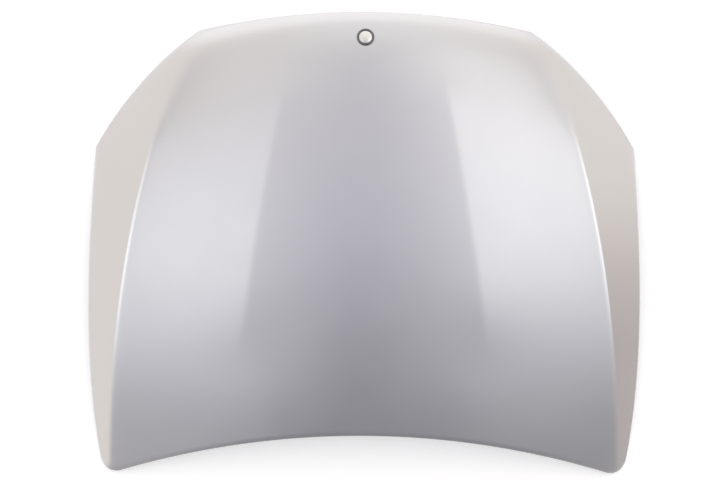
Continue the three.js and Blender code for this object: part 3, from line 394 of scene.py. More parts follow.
class Plan:
    """Stations of one half of the panel: columns to the side and rows to the rear."""

    def __init__(self, centre, field, flank, rows, round_columns, row_spread, gather=0.0):
        self.centre = centre
        self.crease = centre + field
        self.last = centre + field + flank
        self.rows = rows
        self.round_columns = round_columns
        self.row_spread = row_spread
        self.gather = gather
        self.round = corner_round()
        self.cut = headlamp_cut()
        loop = [self.front(column) for column in range(self.last + 1)]
        loop += [self.side(row) for row in range(1, rows)]
        loop += [self.rear(column) for column in range(self.last, -1, -1)]
        self.loop = loop
        self.inward = [self.inward_at(index) for index in range(len(loop))]

    def share(self, row):
        return (row / self.rows) ** self.row_spread

    def across(self, column):
        """Patch of a column and how far across it lies, gathered towards the feature lines."""
        if column <= self.centre:
            u = column / self.centre
            return 0, mix(u, math.sin(u * math.pi / 2), self.gather)
        if column <= self.crease:
            u = (column - self.centre) / (self.crease - self.centre)
            return 1, mix(u, (1 - math.cos(u * math.pi)) / 2, self.gather)
        u = (column - self.crease) / (self.last - self.crease)
        return 2, u ** (1 + self.gather)

    def front(self, column):
        patch, u = self.across(column)
        if patch == 2:
            return bezier(self.cut, u ** (CUT_SPREAD / (1 + self.gather)))
        inner = inner_crease_x(0)
        x = inner * u if patch == 0 else mix(inner, GRILLE_CORNER_X, u)
        return Vector((x, front_s(x)))

    def rear(self, column):
        patch, u = self.across(column)
        if patch == 2:
            return bezier(self.round, mix(CREASE_ON_ROUND, 1, u))
        straight = self.crease - self.round_columns
        if column > straight:
            return bezier(self.round, CREASE_ON_ROUND * (column - straight) / self.round_columns)
        inner = inner_crease_x(REAR_CENTRE_S)
        if patch == 0:
            return Vector((inner * u, rear_s(inner * u)))
        x = mix(inner, self.round[0].x, u / self.across(straight)[1])
        return Vector((x, rear_s(x)))

    def side(self, row):
        s = mix(WING_CORNER[1], self.round[3].y, self.share(row))
        return Vector((side_x(s), s))

    def inward_at(self, index):
        here = self.loop[index]
        before = self.loop[index - 1] if index > 0 else Vector((-self.loop[1].x, self.loop[1].y))
        if index < len(self.loop) - 1:
            after = self.loop[index + 1]
        else:
            after = Vector((-self.loop[index - 1].x, self.loop[index - 1].y))
        first = (here - before).normalized()
        second = (after - here).normalized()
        first_in = Vector((-first.y, first.x))
        second_in = Vector((-second.y, second.x))
        return (first_in + second_in) / (1 + first_in.dot(second_in))

    def inset(self, index, distance):
        return self.loop[index] + self.inward[index] * distance

    def grid(self, inset, grip):
        """Plan points inside an inset outline, as rows of stations from the centre line outwards."""
        def front(column):
            return self.inset(column, inset)

        def rear(column):
            return self.inset(2 * self.last + self.rows - column, inset)

        def ridge(column, x_at, row):
            if row == 0:
                return front(column)
            if row == self.rows:
                return rear(column)
            if column == self.last:
                return self.inset(self.last + row, inset)
            v = self.share(row)
            ahead = front(column).x - x_at(front(column).y)
            behind = rear(column).x - x_at(rear(column).y)
            s = mix(front(column).y, rear(column).y, v)
            return Vector((x_at(s) + ahead * (1 - v) ** grip + behind * v ** grip, s))

        ridges = (
            (0, lambda s: 0), (self.centre, inner_crease_x), (self.crease, outer_crease_x),
            (self.last, side_x),
        )
        rows = []
        for row in range(self.rows + 1):
            v = self.share(row)
            stations = []
            for (first, left_x), (last, right_x) in zip(ridges, ridges[1:]):
                left = ridge(first, left_x, row)
                right = ridge(last, right_x, row)
                for column in range(first if first == 0 else first + 1, last + 1):
                    u = 0 if column == first else self.across(column)[1]
                    ends = (1 - v) * (mix(front(first), front(last), u)) + v * mix(rear(first), rear(last), u)
                    stations.append(mix(left, right, u) + mix(front(column), rear(column), v) - ends)
            rows.append(stations)
        return rows


class Sheet:
    """Shared points and faces of a pressed sheet, wound anticlockwise seen from its outer face."""

    def __init__(self, plan):
        self.plan = plan
        self.points = []
        self.faces = []

    def add(self, point):
        self.points.append(point)
        return len(self.points) - 1

    def quad(self, a, b, c, d):
        self.faces.append((a, b, c, d))

    def band(self, outer, inner):
        """Quads between two rings that run clockwise seen from the outer face."""
        for k, start in enumerate(outer):
            follow = (k + 1) % len(outer)
            self.quad(inner[k], inner[follow], outer[follow], start)

    def ring(self, inset, place):
        last = len(self.plan.loop) - 1
        right = [self.plan.inset(k, inset) for k in range(last + 1)]
        left = [Vector((-p.x, p.y)) for p in right[last - 1:0:-1]]
        return [self.add(place(p.x, p.y)) for p in right + left]

    def lattice(self, rows, place):
        """Lookup of point ids by row and column, mirrored and added as they are first used."""
        ids = {}

        def at(row, column):
            if (row, column) not in ids:
                point = rows[row][abs(column)]
                ids[row, column] = self.add(place(math.copysign(point.x, column) if column else 0, point.y))
            return ids[row, column]
        return at

    def lattice_quad(self, at, row, column):
        self.quad(*lattice_corners(at, row, column))


def lattice_corners(at, row, column):
    return at(row + 1, column), at(row + 1, column + 1), at(row, column + 1), at(row, column)


def block_border(row, column, rows, columns):
    """Places round a block of the grid, clockwise seen from above."""
    border = [(row, column + k) for k in range(columns)]
    border += [(row + k, column + columns) for k in range(rows)]
    border += [(row + rows, column + k) for k in range(columns, 0, -1)]
    border += [(row + k, column) for k in range(rows, 0, -1)]
    return border


def panel_border(plan):
    border = block_border(0, -plan.last, plan.rows, 2 * plan.last)
    return border[plan.last:] + border[:plan.last]


class Block:
    """One block of the frame's grid, with the plan shape of the pad or opening inside it."""

    def __init__(self, plan, at, rows, row, column):
        places = block_border(row, column, plan.rows // BLOCKS_ALONG, plan.crease // BLOCKS_ACROSS)
        self.border = [at(r, c) for r, c in places]
        ends = (row, row + plan.rows // BLOCKS_ALONG)
        sides = (column, column + plan.crease // BLOCKS_ACROSS)
        corners = [
            Vector((math.copysign(rows[r][abs(c)].x, c) if c else 0, rows[r][abs(c)].y))
            for r in ends for c in sides
        ]
        self.middle = sum(corners, Vector((0, 0))) / 4
        self.half_width = (corners[1].x - corners[0].x + corners[3].x - corners[2].x) / 4
        self.half_length = (corners[2].y - corners[0].y + corners[3].y - corners[1].y) / 4
        height = ends[1] - ends[0]
        width = sides[1] - sides[0]
        self.ways = [(2 * (c - column) / width - 1, 2 * (r - row) / height - 1) for r, c in places]

    def oblong(self, half_width, half_length):
        power = OPENING_SQUARENESS
        reaches = [(abs(a) ** power + abs(b) ** power) ** (-1 / power) for a, b in self.ways]
        return [
            Vector((self.middle.x + half_width * a * reach, self.middle.y + half_length * b * reach))
            for (a, b), reach in zip(self.ways, reaches)
        ]


def soft_steps(sheet, outer, points_at):
    """Rings of a soft S-shaped web; points_at gives the ring at a share of its width."""
    for step in range(1, WEB_STEPS + 1):
        inner = [sheet.add(point) for point in points_at(step / WEB_STEPS)]
        sheet.band(outer, inner)
        outer = inner
    return outer


def add_opening(sheet, block):
    margin = OPENING_RIM + OPENING_WEB + RIB_HALF_WIDTH
    half_width = min(OPENING_LIMIT, block.half_width - margin)
    half_length = min(OPENING_LIMIT, block.half_length - margin)

    def ring(grow, share):
        depth_at = fade(share)
        return [
            mix(channel_floor(p.x, p.y), frame_behind(p.x, p.y, RIM_DEPTH), depth_at)
            for p in block.oblong(half_width + grow, half_length + grow)
        ]

    foot = [sheet.add(point) for point in ring(OPENING_RIM + OPENING_WEB, 0)]
    sheet.band(block.border, foot)
    top = soft_steps(sheet, foot, lambda share: ring(OPENING_RIM + OPENING_WEB * (1 - share), share))
    edge = [sheet.add(point) for point in ring(0, 1)]
    sheet.band(top, edge)


def add_pad(sheet, block, pad):
    half_width, half_length, drop = pad
    level = channel_floor(*block.middle).z - drop

    def ring(share):
        grow = PAD_BLEND * (1 - share)
        return [
            mix(channel_floor(p.x, p.y), Vector((p.x, -p.y, level)), fade(share))
            for p in block.oblong(half_width + grow, half_length + grow)
        ]

    foot = [sheet.add(point) for point in ring(0)]
    sheet.band(block.border, foot)
    sheet.faces.append(tuple(reversed(soft_steps(sheet, foot, ring))))


def select_only(obj):
    bpy.ops.object.select_all(action="DESELECT")
    obj.select_set(True)
    bpy.context.view_layer.objects.active = obj


def apply_modifier(obj, kind, **settings):
    select_only(obj)
    modifier = obj.modifiers.new(kind.title(), kind)
    for key, value in settings.items():
        setattr(modifier, key, value)
    bpy.ops.object.modifier_apply(modifier=modifier.name)


def break_edges(obj, width, degrees):
    """Rounds the edges that turn by more than an angle."""
    apply_modifier(
        obj, "BEVEL", width=width * MM, segments=BEVEL_SEGMENTS, limit_method="ANGLE",
        angle_limit=math.radians(degrees),
    )


def shade(obj, degrees):
    select_only(obj)
    bpy.ops.object.shade_smooth_by_angle(angle=math.radians(degrees))


def finish_piece(obj, material, slot, *nodes):
    obj.data.materials.clear()
    obj.data.materials.append(material)
    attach(obj, "root")
    if nodes:
        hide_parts(*nodes)


def sheet_object(name, sheet):
    """Object of a sheet, with the tip of its nose at its place over the floor."""
    mesh = bpy.data.meshes.new(name)
    mesh.from_pydata([(point + NOSE_PLACE) * MM for point in sheet.points], [], sheet.faces)
    obj = bpy.data.objects.new(name, mesh)
    bpy.context.scene.collection.objects.link(obj)
    return obj


# Materials


def linear(hex_colour):
    """Linear red, green, blue and alpha of an sRGB hex colour."""
    channels = [int(hex_colour[k:k + 2], 16) / 255 for k in (1, 3, 5)]
    return [c / 12.92 if c <= 0.04045 else ((c + 0.055) / 1.055) ** 2.4 for c in channels] + [1.0]


def add_node(tree, kind, links=(), **settings):
    """New node with its settings: input values, the stops of a colour ramp, and links to earlier nodes."""
    node = tree.nodes.new(kind)
    inputs = settings.pop("inputs", {})
    stops = settings.pop("stops", ())
    for key, value in settings.items():
        setattr(node, key, value)
    for key, value in inputs.items():
        node.inputs[key].default_value = value
    for index, (place, colour) in enumerate(stops):
        elements = node.color_ramp.elements
        element = elements[index] if index < 2 else elements.new(place)
        element.position = place
        element.color = linear(colour)
    for source, socket, target in links:
        tree.links.new(source.outputs[socket], node.inputs[target])
    return node


def from_range(ends):
    return {"From Min": ends[0], "From Max": ends[1]}


def new_material(name):
    material = bpy.data.materials.new(name)
    material.use_nodes = True
    tree = material.node_tree
    tree.nodes.clear()
    return material, tree


def finish_material(tree, shader):
    add_node(tree, "ShaderNodeOutputMaterial", [(shader, "BSDF", "Surface")])


def clearcoat_paint(colour, flake_mm):
    """Silver metallic base coat under sprayed clear lacquer.

    The flakes lie flat, so the panel is bright where it faces the light and falls off quickly to grey,
    with a sharper sheen from the lacquer on top. Real flakes are some 0.03 mm, too fine to show, so they
    are drawn far coarser and faint. The lacquer's slight waves keep their real size.
    """
    material, tree = new_material("silver_metallic_clearcoat")
    where = add_node(tree, "ShaderNodeTexCoord")
    flakes = add_node(
        tree, "ShaderNodeTexVoronoi", [(where, "Object", "Vector")],
        inputs={"Scale": 1 / (flake_mm * MM)},
    )
    flake_tone = add_node(
        tree, "ShaderNodeMapRange", [(flakes, "Color", "Value")],
        inputs={"To Min": 1 - FLAKE_CONTRAST, "To Max": 1 + FLAKE_CONTRAST},
    )
    drift = add_node(
        tree, "ShaderNodeTexNoise", [(where, "Object", "Vector")],
        inputs={"Scale": DRIFTS_PER_METRE, "Detail": 3.0, "Roughness": 0.5},
    )
    roughness = add_node(
        tree, "ShaderNodeMapRange", [(drift, "Fac", "Value")],
        inputs={**from_range(NOISE_RANGE), "To Min": PAINT_ROUGH[0], "To Max": PAINT_ROUGH[1]},
    )
    tone = add_node(
        tree, "ShaderNodeHueSaturation", [(flake_tone, "Result", "Value")],
        inputs={"Color": colour},
    )
    peel = add_node(
        tree, "ShaderNodeTexNoise", [(where, "Object", "Vector")],
        inputs={"Scale": 1 / (LACQUER_WAVE * MM), "Detail": 1.0},
    )
    bump = add_node(
        tree, "ShaderNodeBump", [(peel, "Fac", "Height")],
        inputs={"Strength": LACQUER_STRENGTH, "Distance": LACQUER_RELIEF * MM},
    )
    shader = add_node(
        tree, "ShaderNodeBsdfPrincipled",
        [(tone, "Color", "Base Color"), (roughness, "Result", "Roughness"), (bump, "Normal", "Coat Normal")],
        inputs={"Metallic": 0.85, "Coat Weight": 0.6, "Coat Roughness": 0.08, "Coat IOR": 1.5},
    )
    finish_material(tree, shader)
    return material


def rough_material(name, colours, rough, metallic, grain_mm, relief_mm, glow=0):
    """Surface whose tone, gloss and relief vary with one grain of a real size."""
    material, tree = new_material(name)
    where = add_node(tree, "ShaderNodeTexCoord")
    grain = add_node(
        tree, "ShaderNodeTexNoise", [(where, "Object", "Vector")],
        inputs={"Scale": 1 / (grain_mm * MM), "Detail": 6.0, "Roughness": 0.6},
    )
    tone = add_node(
        tree, "ShaderNodeMix", [(grain, "Fac", "Factor")], data_type="RGBA",
        inputs={6: linear(colours[0]), 7: linear(colours[1])},
    )
    gloss = add_node(
        tree, "ShaderNodeMapRange", [(grain, "Fac", "Value")],
        inputs={**from_range(NOISE_RANGE), "To Min": rough[0], "To Max": rough[1]},
    )
    bump = add_node(
        tree, "ShaderNodeBump", [(grain, "Fac", "Height")],
        inputs={"Strength": GRAIN_STRENGTH, "Distance": relief_mm * MM},
    )
    shader = add_node(
        tree, "ShaderNodeBsdfPrincipled",
        [(tone, 2, "Base Color"), (gloss, "Result", "Roughness"), (bump, "Normal", "Normal")],
        inputs={"Metallic": metallic, "Emission Color": linear(colours[1]), "Emission Strength": glow},
    )
    finish_material(tree, shader)
    return material


def smooth_share(tree, source, ends):
    """Node that rises softly from 0 at one value of its source to 1 at another."""
    return add_node(
        tree, "ShaderNodeMapRange", [(*source, "Value")], interpolation_type="SMOOTHSTEP",
        inputs=from_range(ends),
    )


def blend(tree, share, first, second, kind="MIX"):
    """Node that goes from its first colour to its second as a share rises; a plain colour may stand in."""
    links = [(share, share.outputs[0].name, "Factor")]
    inputs = {}
    for socket, colour in ((6, first), (7, second)):
        if isinstance(colour, bpy.types.Node):
            links.append((colour, 2 if colour.bl_idname == "ShaderNodeMix" else "Color", socket))
        else:
            inputs[socket] = colour
    return add_node(tree, "ShaderNodeMix", links, data_type="RGBA", blend_type=kind, inputs=inputs)


def times(tree, first, second):
    links = [(first, first.outputs[0].name, 0), (second, second.outputs[0].name, 1)]
    return add_node(tree, "ShaderNodeMath", links, operation="MULTIPLY")


def studio_light(scene, stage):
    """Soft light all round: a dim strip overhead, a soft box on each side, pale walls and a dim rear."""
    world = bpy.data.worlds.new("studio")
    scene.world = world
    world.use_nodes = True
    tree = world.node_tree
    tree.nodes.clear()
    where = add_node(tree, "ShaderNodeTexCoord")
    parts = add_node(tree, "ShaderNodeSeparateXYZ", [(where, "Generated", "Vector")])
    lean = add_node(
        tree, "ShaderNodeMath", [(parts, "X", 0), (parts, "Y", 2)], operation="MULTIPLY_ADD",
        inputs={1: stage.lean},
    )
    ahead = add_node(
        tree, "ShaderNodeMapRange", [(lean, "Value", "Value")], inputs=from_range(AHEAD_RANGE),
    )
    aside = add_node(tree, "ShaderNodeMath", [(parts, "X", 0)], operation="ABSOLUTE")
    on_right = add_node(
        tree, "ShaderNodeMapRange", [(parts, "X", "Value")], inputs=from_range(LEFT_TO_RIGHT),
    )
    to_nose = (ahead, "Result")
    to_side = (aside, "Value")
    height = (parts, "Z")
    strip, left_box, right_box = (
        add_node(tree, "ShaderNodeValToRGB", [(ahead, "Result", "Fac")], stops=stops)
        for stops in (STRIP_STOPS, LEFT_BOX_STOPS, RIGHT_BOX_STOPS)
    )
    box = blend(tree, on_right, left_box, right_box)
    glimmer = add_node(
        tree, "ShaderNodeMapRange", [(aside, "Value", "Value")], interpolation_type="SMOOTHSTEP",
        inputs={**from_range(GLIMMER_ASIDE), "To Max": GLIMMER},
    )
    sharp_edge = smooth_share(tree, to_side, BOX_SHARP_ASIDE)
    stepped = add_node(
        tree, "ShaderNodeMath", [(glimmer, "Result", 0), (sharp_edge, "Result", 1)], operation="MAXIMUM")
    in_box = add_node(
        tree, "ShaderNodeMix",
        [(smooth_share(tree, to_nose, BOX_SHARP_AHEAD), "Result", "Factor"),
         (smooth_share(tree, to_side, BOX_ASIDE), "Result", "A"), (stepped, "Value", "B")],
    )
    overhead = blend(tree, in_box, strip, box)
    past_box = times(
        tree, smooth_share(tree, to_side, BOX_EDGE_ASIDE), smooth_share(tree, to_nose, BOX_EDGE_AHEAD))
    overhead = blend(tree, past_box, overhead, BOX_EDGE_TONE, "MULTIPLY")
    wall = blend(tree, on_right, linear(LEFT_WALL), linear(RIGHT_WALL))
    dim_corner = times(
        tree, smooth_share(tree, (parts, "X"), DIM_CORNER_ASIDE),
        smooth_share(tree, to_nose, DIM_CORNER_AHEAD),
    )
    wall = blend(tree, dim_corner, wall, linear(DIM_CORNER))
    wall = blend(tree, smooth_share(tree, to_nose, NOSE_WALL_AHEAD), wall, linear(NOSE_WALL))
    wall = blend(tree, smooth_share(tree, to_nose, REAR_WALL_AHEAD), wall, linear(REAR_WALL))
    sky = blend(tree, smooth_share(tree, height, WALL_UP), overhead, wall)
    lamp = smooth_share(tree, to_side, LAMP_ASIDE_IN)
    limits = (
        (to_side, LAMP_ASIDE_OUT), (to_nose, LAMP_AHEAD_OUT), (to_nose, LAMP_AHEAD_IN), (height, LAMP_UP),
    )
    for source, ends in limits:
        lamp = times(tree, lamp, smooth_share(tree, source, ends))
    sky = blend(tree, lamp, sky, CREASE_LAMP, "ADD")
    background = add_node(
        tree, "ShaderNodeBackground", [(sky, 2, "Color")], inputs={"Strength": stage.light})
    add_node(tree, "ShaderNodeOutputWorld", [(background, "Background", "Surface")])


class BonnetPaint(bpy.types.PropertyGroup):
    colour: FloatVectorProperty(
        name="Paint colour", description="Base colour of the metallic paint", subtype="COLOR", size=4,
        min=0, max=1, default=linear("#d3d3d6"),
    )
    flake: FloatProperty(
        name="Flake", description="Size of the flakes as drawn, in millimetres", default=2.2, min=0.2, max=10,
    )


class BonnetStage(bpy.types.PropertyGroup):
    distance: FloatProperty(
        name="Camera distance", description="From the camera to the panel", default=4.6, unit="LENGTH",
    )
    elevation: FloatProperty(
        name="Camera elevation", description="Angle of view above the floor", default=math.radians(86.0),
        subtype="ANGLE",
    )
    light: FloatProperty(name="Light", description="Strength of the studio light", default=1.53)
    lean: FloatProperty(name="Lean", description="Sideways lean of the light", default=-0.06)
    roll: FloatProperty(
        name="Camera roll", description="Turn of the picture", default=math.radians(0.3), subtype="ANGLE",
    )
    scale: FloatProperty(
        name="Picture scale", description="Width of one picture point on the panel, in millimetres",
        default=2.636,
    )


class BONNET_OT_skin(bpy.types.Operator):
    """Outer skin with its feature lines and hem"""
    bl_idname = "bonnet.skin"
    bl_label = "Outer skin"

    def execute(self, context):
        plan = Plan(**SKIN_PLAN)
        sheet = Sheet(plan)
        rows = plan.grid(HEM_RADIUS, SKIN_GRIP)
        face = sheet.lattice(rows, lambda x, s: behind_skin(x, s, 0))
        back = sheet.lattice(rows, lambda x, s: behind_skin(x, s, SKIN_THICKNESS))
        for row in range(plan.rows):
            for column in range(-plan.last, plan.last):
                sheet.lattice_quad(face, row, column)
                sheet.quad(*reversed(lattice_corners(back, row, column)))
        rings = [[face(row, column) for row, column in panel_border(plan)]]
        turns = [math.pi * step / HEM_STEPS for step in range(1, HEM_STEPS + 1)]
        inner_radius = HEM_RADIUS - SKIN_THICKNESS
        profile = [(HEM_RADIUS * (1 - math.sin(a)), HEM_RADIUS * (1 - math.cos(a))) for a in turns]
        profile += [(HEM_FLANGE, 2 * HEM_RADIUS), (HEM_FLANGE, 2 * HEM_RADIUS - SKIN_THICKNESS)]
        profile += [
            (HEM_RADIUS - inner_radius * math.sin(a), HEM_RADIUS - inner_radius * math.cos(a))
            for a in reversed(turns)
        ]
        for inset, depth in profile:
            rings.append(sheet.ring(inset, lambda x, s: behind_skin(x, s, depth)))
        rings.append([back(row, column) for row, column in panel_border(plan)])
        for inner, outer in zip(rings, rings[1:]):
            sheet.band(outer, inner)
        skin = sheet_object("skin", sheet)
        shade(skin, SHEET_SMOOTH)
        paint = context.scene.bonnet_paint
        finish_piece(skin, clearcoat_paint(paint.colour, paint.flake), "body_paint", "outer_skin")
        return {"FINISHED"}


class BONNET_OT_frame(bpy.types.Operator):
    """Pressed inner frame with its openings, ribs and pads"""
    bl_idname = "bonnet.frame"
    bl_label = "Inner frame"

    def execute(self, context):
        plan = Plan(**FRAME_PLAN)
        sheet = Sheet(plan)
        rows = plan.grid(FRAME_WEB_FOOT, FRAME_GRIP)
        at = sheet.lattice(rows, channel_floor)
        tall = plan.rows // BLOCKS_ALONG
        wide = plan.crease // BLOCKS_ACROSS
        for row in range(plan.rows):
            for column in range(-plan.last, plan.last):
                place = (column if column >= 0 else -column - 1) // wide
                along = row // tall
                if place < BLOCKS_ACROSS and self.shaped(along, place):
                    if row % tall == 0 and column % wide == 0:
                        self.shape(sheet, Block(plan, at, rows, row, column), along, place)
                else:
                    sheet.lattice_quad(at, row, column)
        border = [at(row, column) for row, column in panel_border(plan)]
        width = FRAME_WEB_FOOT - GRID_INSET
        for step in range(1, WEB_STEPS + 1):
            share = step / WEB_STEPS
            ring = sheet.ring(
                FRAME_WEB_FOOT - width * share,
                lambda x, s: mix(channel_floor(x, s), behind_skin(x, s, BEHIND_SKIN), fade(share)),
            )
            sheet.band(ring, border)
            border = ring
        for inset in FRAME_EDGE_INSETS:
            ring = sheet.ring(inset, lambda x, s: behind_skin(x, s, BEHIND_SKIN))
            sheet.band(ring, border)
            border = ring
        pressing = sheet_object("frame", sheet)
        apply_modifier(pressing, "SOLIDIFY", thickness=FRAME_THICKNESS * MM, offset=-1)
        shade(pressing, SHEET_SMOOTH)
        # Pressed aluminium, electrocoated with a thin silver base coat and no lacquer: an even satin grey,
        # duller and darker than the skin, with the faint mottle of the dip
        material = rough_material(
            "electrocoated_aluminium_frame", ("#9fa1a5", "#b3b5b8"), rough=(0.38, 0.5), metallic=0.35,
            grain_mm=3, relief_mm=0.01,
        )
        finish_piece(pressing, material, "inner_paint", "inner_frame")
        return {"FINISHED"}

    def shaped(self, along, place):
        middle = 0 < along < BLOCKS_ALONG - 1
        return middle or (along == 0 and place == 1) or (along > 0 and place == 2)

    def shape(self, sheet, block, along, place):
        if 0 < along < BLOCKS_ALONG - 1:
            add_opening(sheet, block)
        else:
            add_pad(sheet, block, STRIKER_PAD if along == 0 else HINGE_PAD)


def axis_of(node):
    """Middle of a CAD node, the axis that its largest flat faces point along, and its ends on it."""
    mesh = bpy.data.objects[node].data
    place = bpy.data.objects[node].matrix_world
    areas = {}
    for face in mesh.polygons:
        normal = (place.to_3x3() @ face.normal).normalized()
        normal = normal if normal.z >= 0 else -normal
        key = tuple(round(value, 2) for value in normal)
        areas[key] = areas.get(key, Vector((0, 0, 0))) + normal * face.area
    axis = max(areas.values(), key=lambda vector: vector.length).normalized()
    points = {tuple(round(value, 6) for value in place @ vertex.co) for vertex in mesh.vertices}
    points = [Vector(point) for point in points]
    middle = sum(points, Vector((0, 0, 0))) / len(points)
    along = [(point - middle).dot(axis) for point in points]
    return middle, axis, min(along), max(along)


def turned_object(name, profile, steps):
    """Solid of revolution: a wire drawn at its radii and heights, then spun round the Z axis."""
    bpy.ops.object.select_all(action="DESELECT")
    bpy.ops.mesh.primitive_circle_add(vertices=len(profile), radius=MM)
    obj = bpy.context.active_object
    obj.name = name
    for vertex, (radius, height) in zip(obj.data.vertices, profile):
        vertex.co = Vector((radius, 0, height)) * MM
    bpy.ops.object.mode_set(mode="EDIT")
    bpy.ops.mesh.select_all(action="SELECT")
    bpy.ops.mesh.spin(steps=steps, angle=2 * math.pi, center=(0, 0, 0), axis=(0, 0, 1))
    bpy.ops.mesh.select_all(action="SELECT")
    bpy.ops.mesh.remove_doubles(threshold=MERGE)
    bpy.ops.mesh.dissolve_degenerate(threshold=MERGE)
    bpy.ops.mesh.normals_make_consistent(inside=False)
    bpy.ops.object.mode_set(mode="OBJECT")
    return obj


def copy_of(obj, name):
    select_only(obj)
    bpy.ops.object.duplicate(linked=False)
    twin = bpy.context.active_object
    twin.name = name
    return twin


def stand_at(obj, place, axis):
    """Moves a mesh modelled about the origin to its place, its Z axis along the given one."""
    turn = Vector((0, 0, 1)).rotation_difference(axis).to_matrix().to_4x4()
    obj.data.transform(Matrix.Translation(place) @ turn)


def refined_copy(node, bevel):
    """Merged copy of a CAD node with its flat faces joined and its edges softly broken."""
    twin = copy_of(bpy.data.objects[node], node + "_piece")
    select_only(twin)
    bpy.ops.object.parent_clear(type="CLEAR_KEEP_TRANSFORM")
    bpy.ops.object.transform_apply(location=True, rotation=True, scale=True)
    twin.data.materials.clear()
    bpy.ops.object.mode_set(mode="EDIT")
    bpy.ops.mesh.select_all(action="SELECT")
    bpy.ops.mesh.remove_doubles(threshold=CAD_MERGE)
    bpy.ops.mesh.normals_make_consistent(inside=False)
    bpy.ops.mesh.dissolve_limited(angle_limit=math.radians(CAD_FLAT_ANGLE))
    bpy.ops.object.mode_set(mode="OBJECT")
    break_edges(twin, bevel, PLATE_BEVEL_ANGLE)
    shade(twin, PLATE_SMOOTH)
    return twin


def nodes_like(start):
    return sorted(obj.name for obj in bpy.data.objects if obj.name.startswith(start) and obj.type == "MESH")


class BONNET_OT_fittings(bpy.types.Operator):
    """Hinge plates, nuts, bolts and striker plates"""
    bl_idname = "bonnet.fittings"
    bl_label = "Plates, nuts and bolts"

    def execute(self, context):
        # Stamped steel, zinc plated: a cool grey metal with soft, slightly cloudy reflections
        material = rough_material(
            "zinc_plated_steel", ("#a9abad", "#c9c9c4"), rough=(0.34, 0.5), metallic=0.9, grain_mm=1.5,
            relief_mm=0.01,
        )
        nodes = [name for start in ("hinge_", "striker_b") for name in nodes_like(start)]
        if len(nodes) != FITTING_COUNT:
            raise RuntimeError("the frame has not all of its plates, nuts and bolts")
        for node in nodes:
            bevel = BOLT_BEVEL if "bolt" in node or "nut" in node else PLATE_BEVEL
            finish_piece(refined_copy(node, bevel), material, "zinc", node)
        return {"FINISHED"}


class BONNET_OT_loops(bpy.types.Operator):
    """Striker loops bent from round rod"""
    bl_idname = "bonnet.loops"
    bl_label = "Striker loops"

    def execute(self, context):
        # Drawn steel rod, zinc plated after bending: smoother than the plates, so its highlight is tighter
        material = rough_material(
            "zinc_plated_rod", ("#a4a7a9", "#c4c5c2"), rough=(0.28, 0.42), metallic=0.95, grain_mm=1.2,
            relief_mm=0.01,
        )
        bpy.ops.object.select_all(action="DESELECT")
        half = STRIKER_SPAN / 2 * MM
        bend = STRIKER_BEND * MM
        straight = (STRIKER_REACH - STRIKER_BEND) * MM
        bpy.ops.mesh.primitive_circle_add(
            vertices=ROD_SIDES, radius=STRIKER_ROD / 2 * MM, fill_type="NGON", location=(0, half, 0))
        rod = context.active_object
        rod.name = "striker_rod"
        bpy.ops.object.transform_apply(location=True, rotation=True, scale=True)
        bpy.ops.object.mode_set(mode="EDIT")
        bpy.ops.mesh.select_all(action="SELECT")
        bpy.ops.mesh.extrude_region_move(TRANSFORM_OT_translate={"value": (0, 0, -straight)})
        bpy.ops.mesh.spin(
            steps=ROD_BEND_STEPS, angle=-math.pi / 2, center=(0, half - bend, -straight), axis=(1, 0, 0))
        bpy.ops.mesh.extrude_region_move(TRANSFORM_OT_translate={"value": (0, 2 * (bend - half), 0)})
        bpy.ops.mesh.spin(
            steps=ROD_BEND_STEPS, angle=-math.pi / 2, center=(0, bend - half, -straight), axis=(1, 0, 0))
        bpy.ops.mesh.extrude_region_move(TRANSFORM_OT_translate={"value": (0, 0, straight)})
        bpy.ops.mesh.select_all(action="SELECT")
        bpy.ops.mesh.remove_doubles(threshold=MERGE)
        bpy.ops.mesh.normals_make_consistent(inside=False)
        bpy.ops.object.mode_set(mode="OBJECT")
        shade(rod, ROD_SMOOTH)
        twins = (rod, copy_of(rod, "striker_rod_right"))
        for loop, node in zip(twins, ("striker_loop_left", "striker_loop_right")):
            low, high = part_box(node)
            top = Vector(((low[0] + high[0]) / 2, (low[1] + high[1]) / 2, high[2]))
            stand_at(loop, top, Vector((0, 0, 1)))
            finish_piece(loop, material, "zinc", node)
        return {"FINISHED"}


class BONNET_OT_buffers(bpy.types.Operator):
    """Rubber stop buffers under the frame"""
    bl_idname = "bonnet.buffers"
    bl_label = "Stop buffers"

    def execute(self, context):
        # Moulded rubber: near black and matt, with the fine texture of its mould
        material = rough_material(
            "moulded_black_rubber", ("#1b1c1e", "#26272a"), rough=(0.62, 0.8), metallic=0, grain_mm=0.9,
            relief_mm=0.04,
        )
        nodes = nodes_like("stop_buffer_")
        model = turned_object("buffer", BUFFER_PROFILE, BUFFER_STEPS)
        shade(model, ROD_SMOOTH)
        for node in nodes:
            middle, axis, low, high = axis_of(node)
            piece = copy_of(model, node + "_piece")
            stand_at(piece, middle + axis * high, axis)
            finish_piece(piece, material, "rubber", node)
        bpy.data.objects.remove(model)
        return {"FINISHED"}


class BONNET_OT_beads(bpy.types.Operator):
    """Beads of mastic between the frame and the skin"""
    bl_idname = "bonnet.beads"
    bl_label = "Mastic beads"

    def execute(self, context):
        # Pumped mastic, cured in the paint oven: dark grey, dull and a little lumpy
        material = rough_material(
            "anti_flutter_mastic", ("#2f3134", "#3d4044"), rough=(0.7, 0.85), metallic=0, grain_mm=2.5,
            relief_mm=0.12,
        )
        model = turned_object("bead", BEAD_PROFILE, BEAD_STEPS)
        shade(model, BEAD_SMOOTH)
        for node in nodes_like("mastic_bead_"):
            middle, axis, low, high = axis_of(node)
            piece = copy_of(model, node + "_piece")
            stand_at(piece, middle + axis * low, axis)
            finish_piece(piece, material, "mastic", node)
        bpy.data.objects.remove(model)
        return {"FINISHED"}


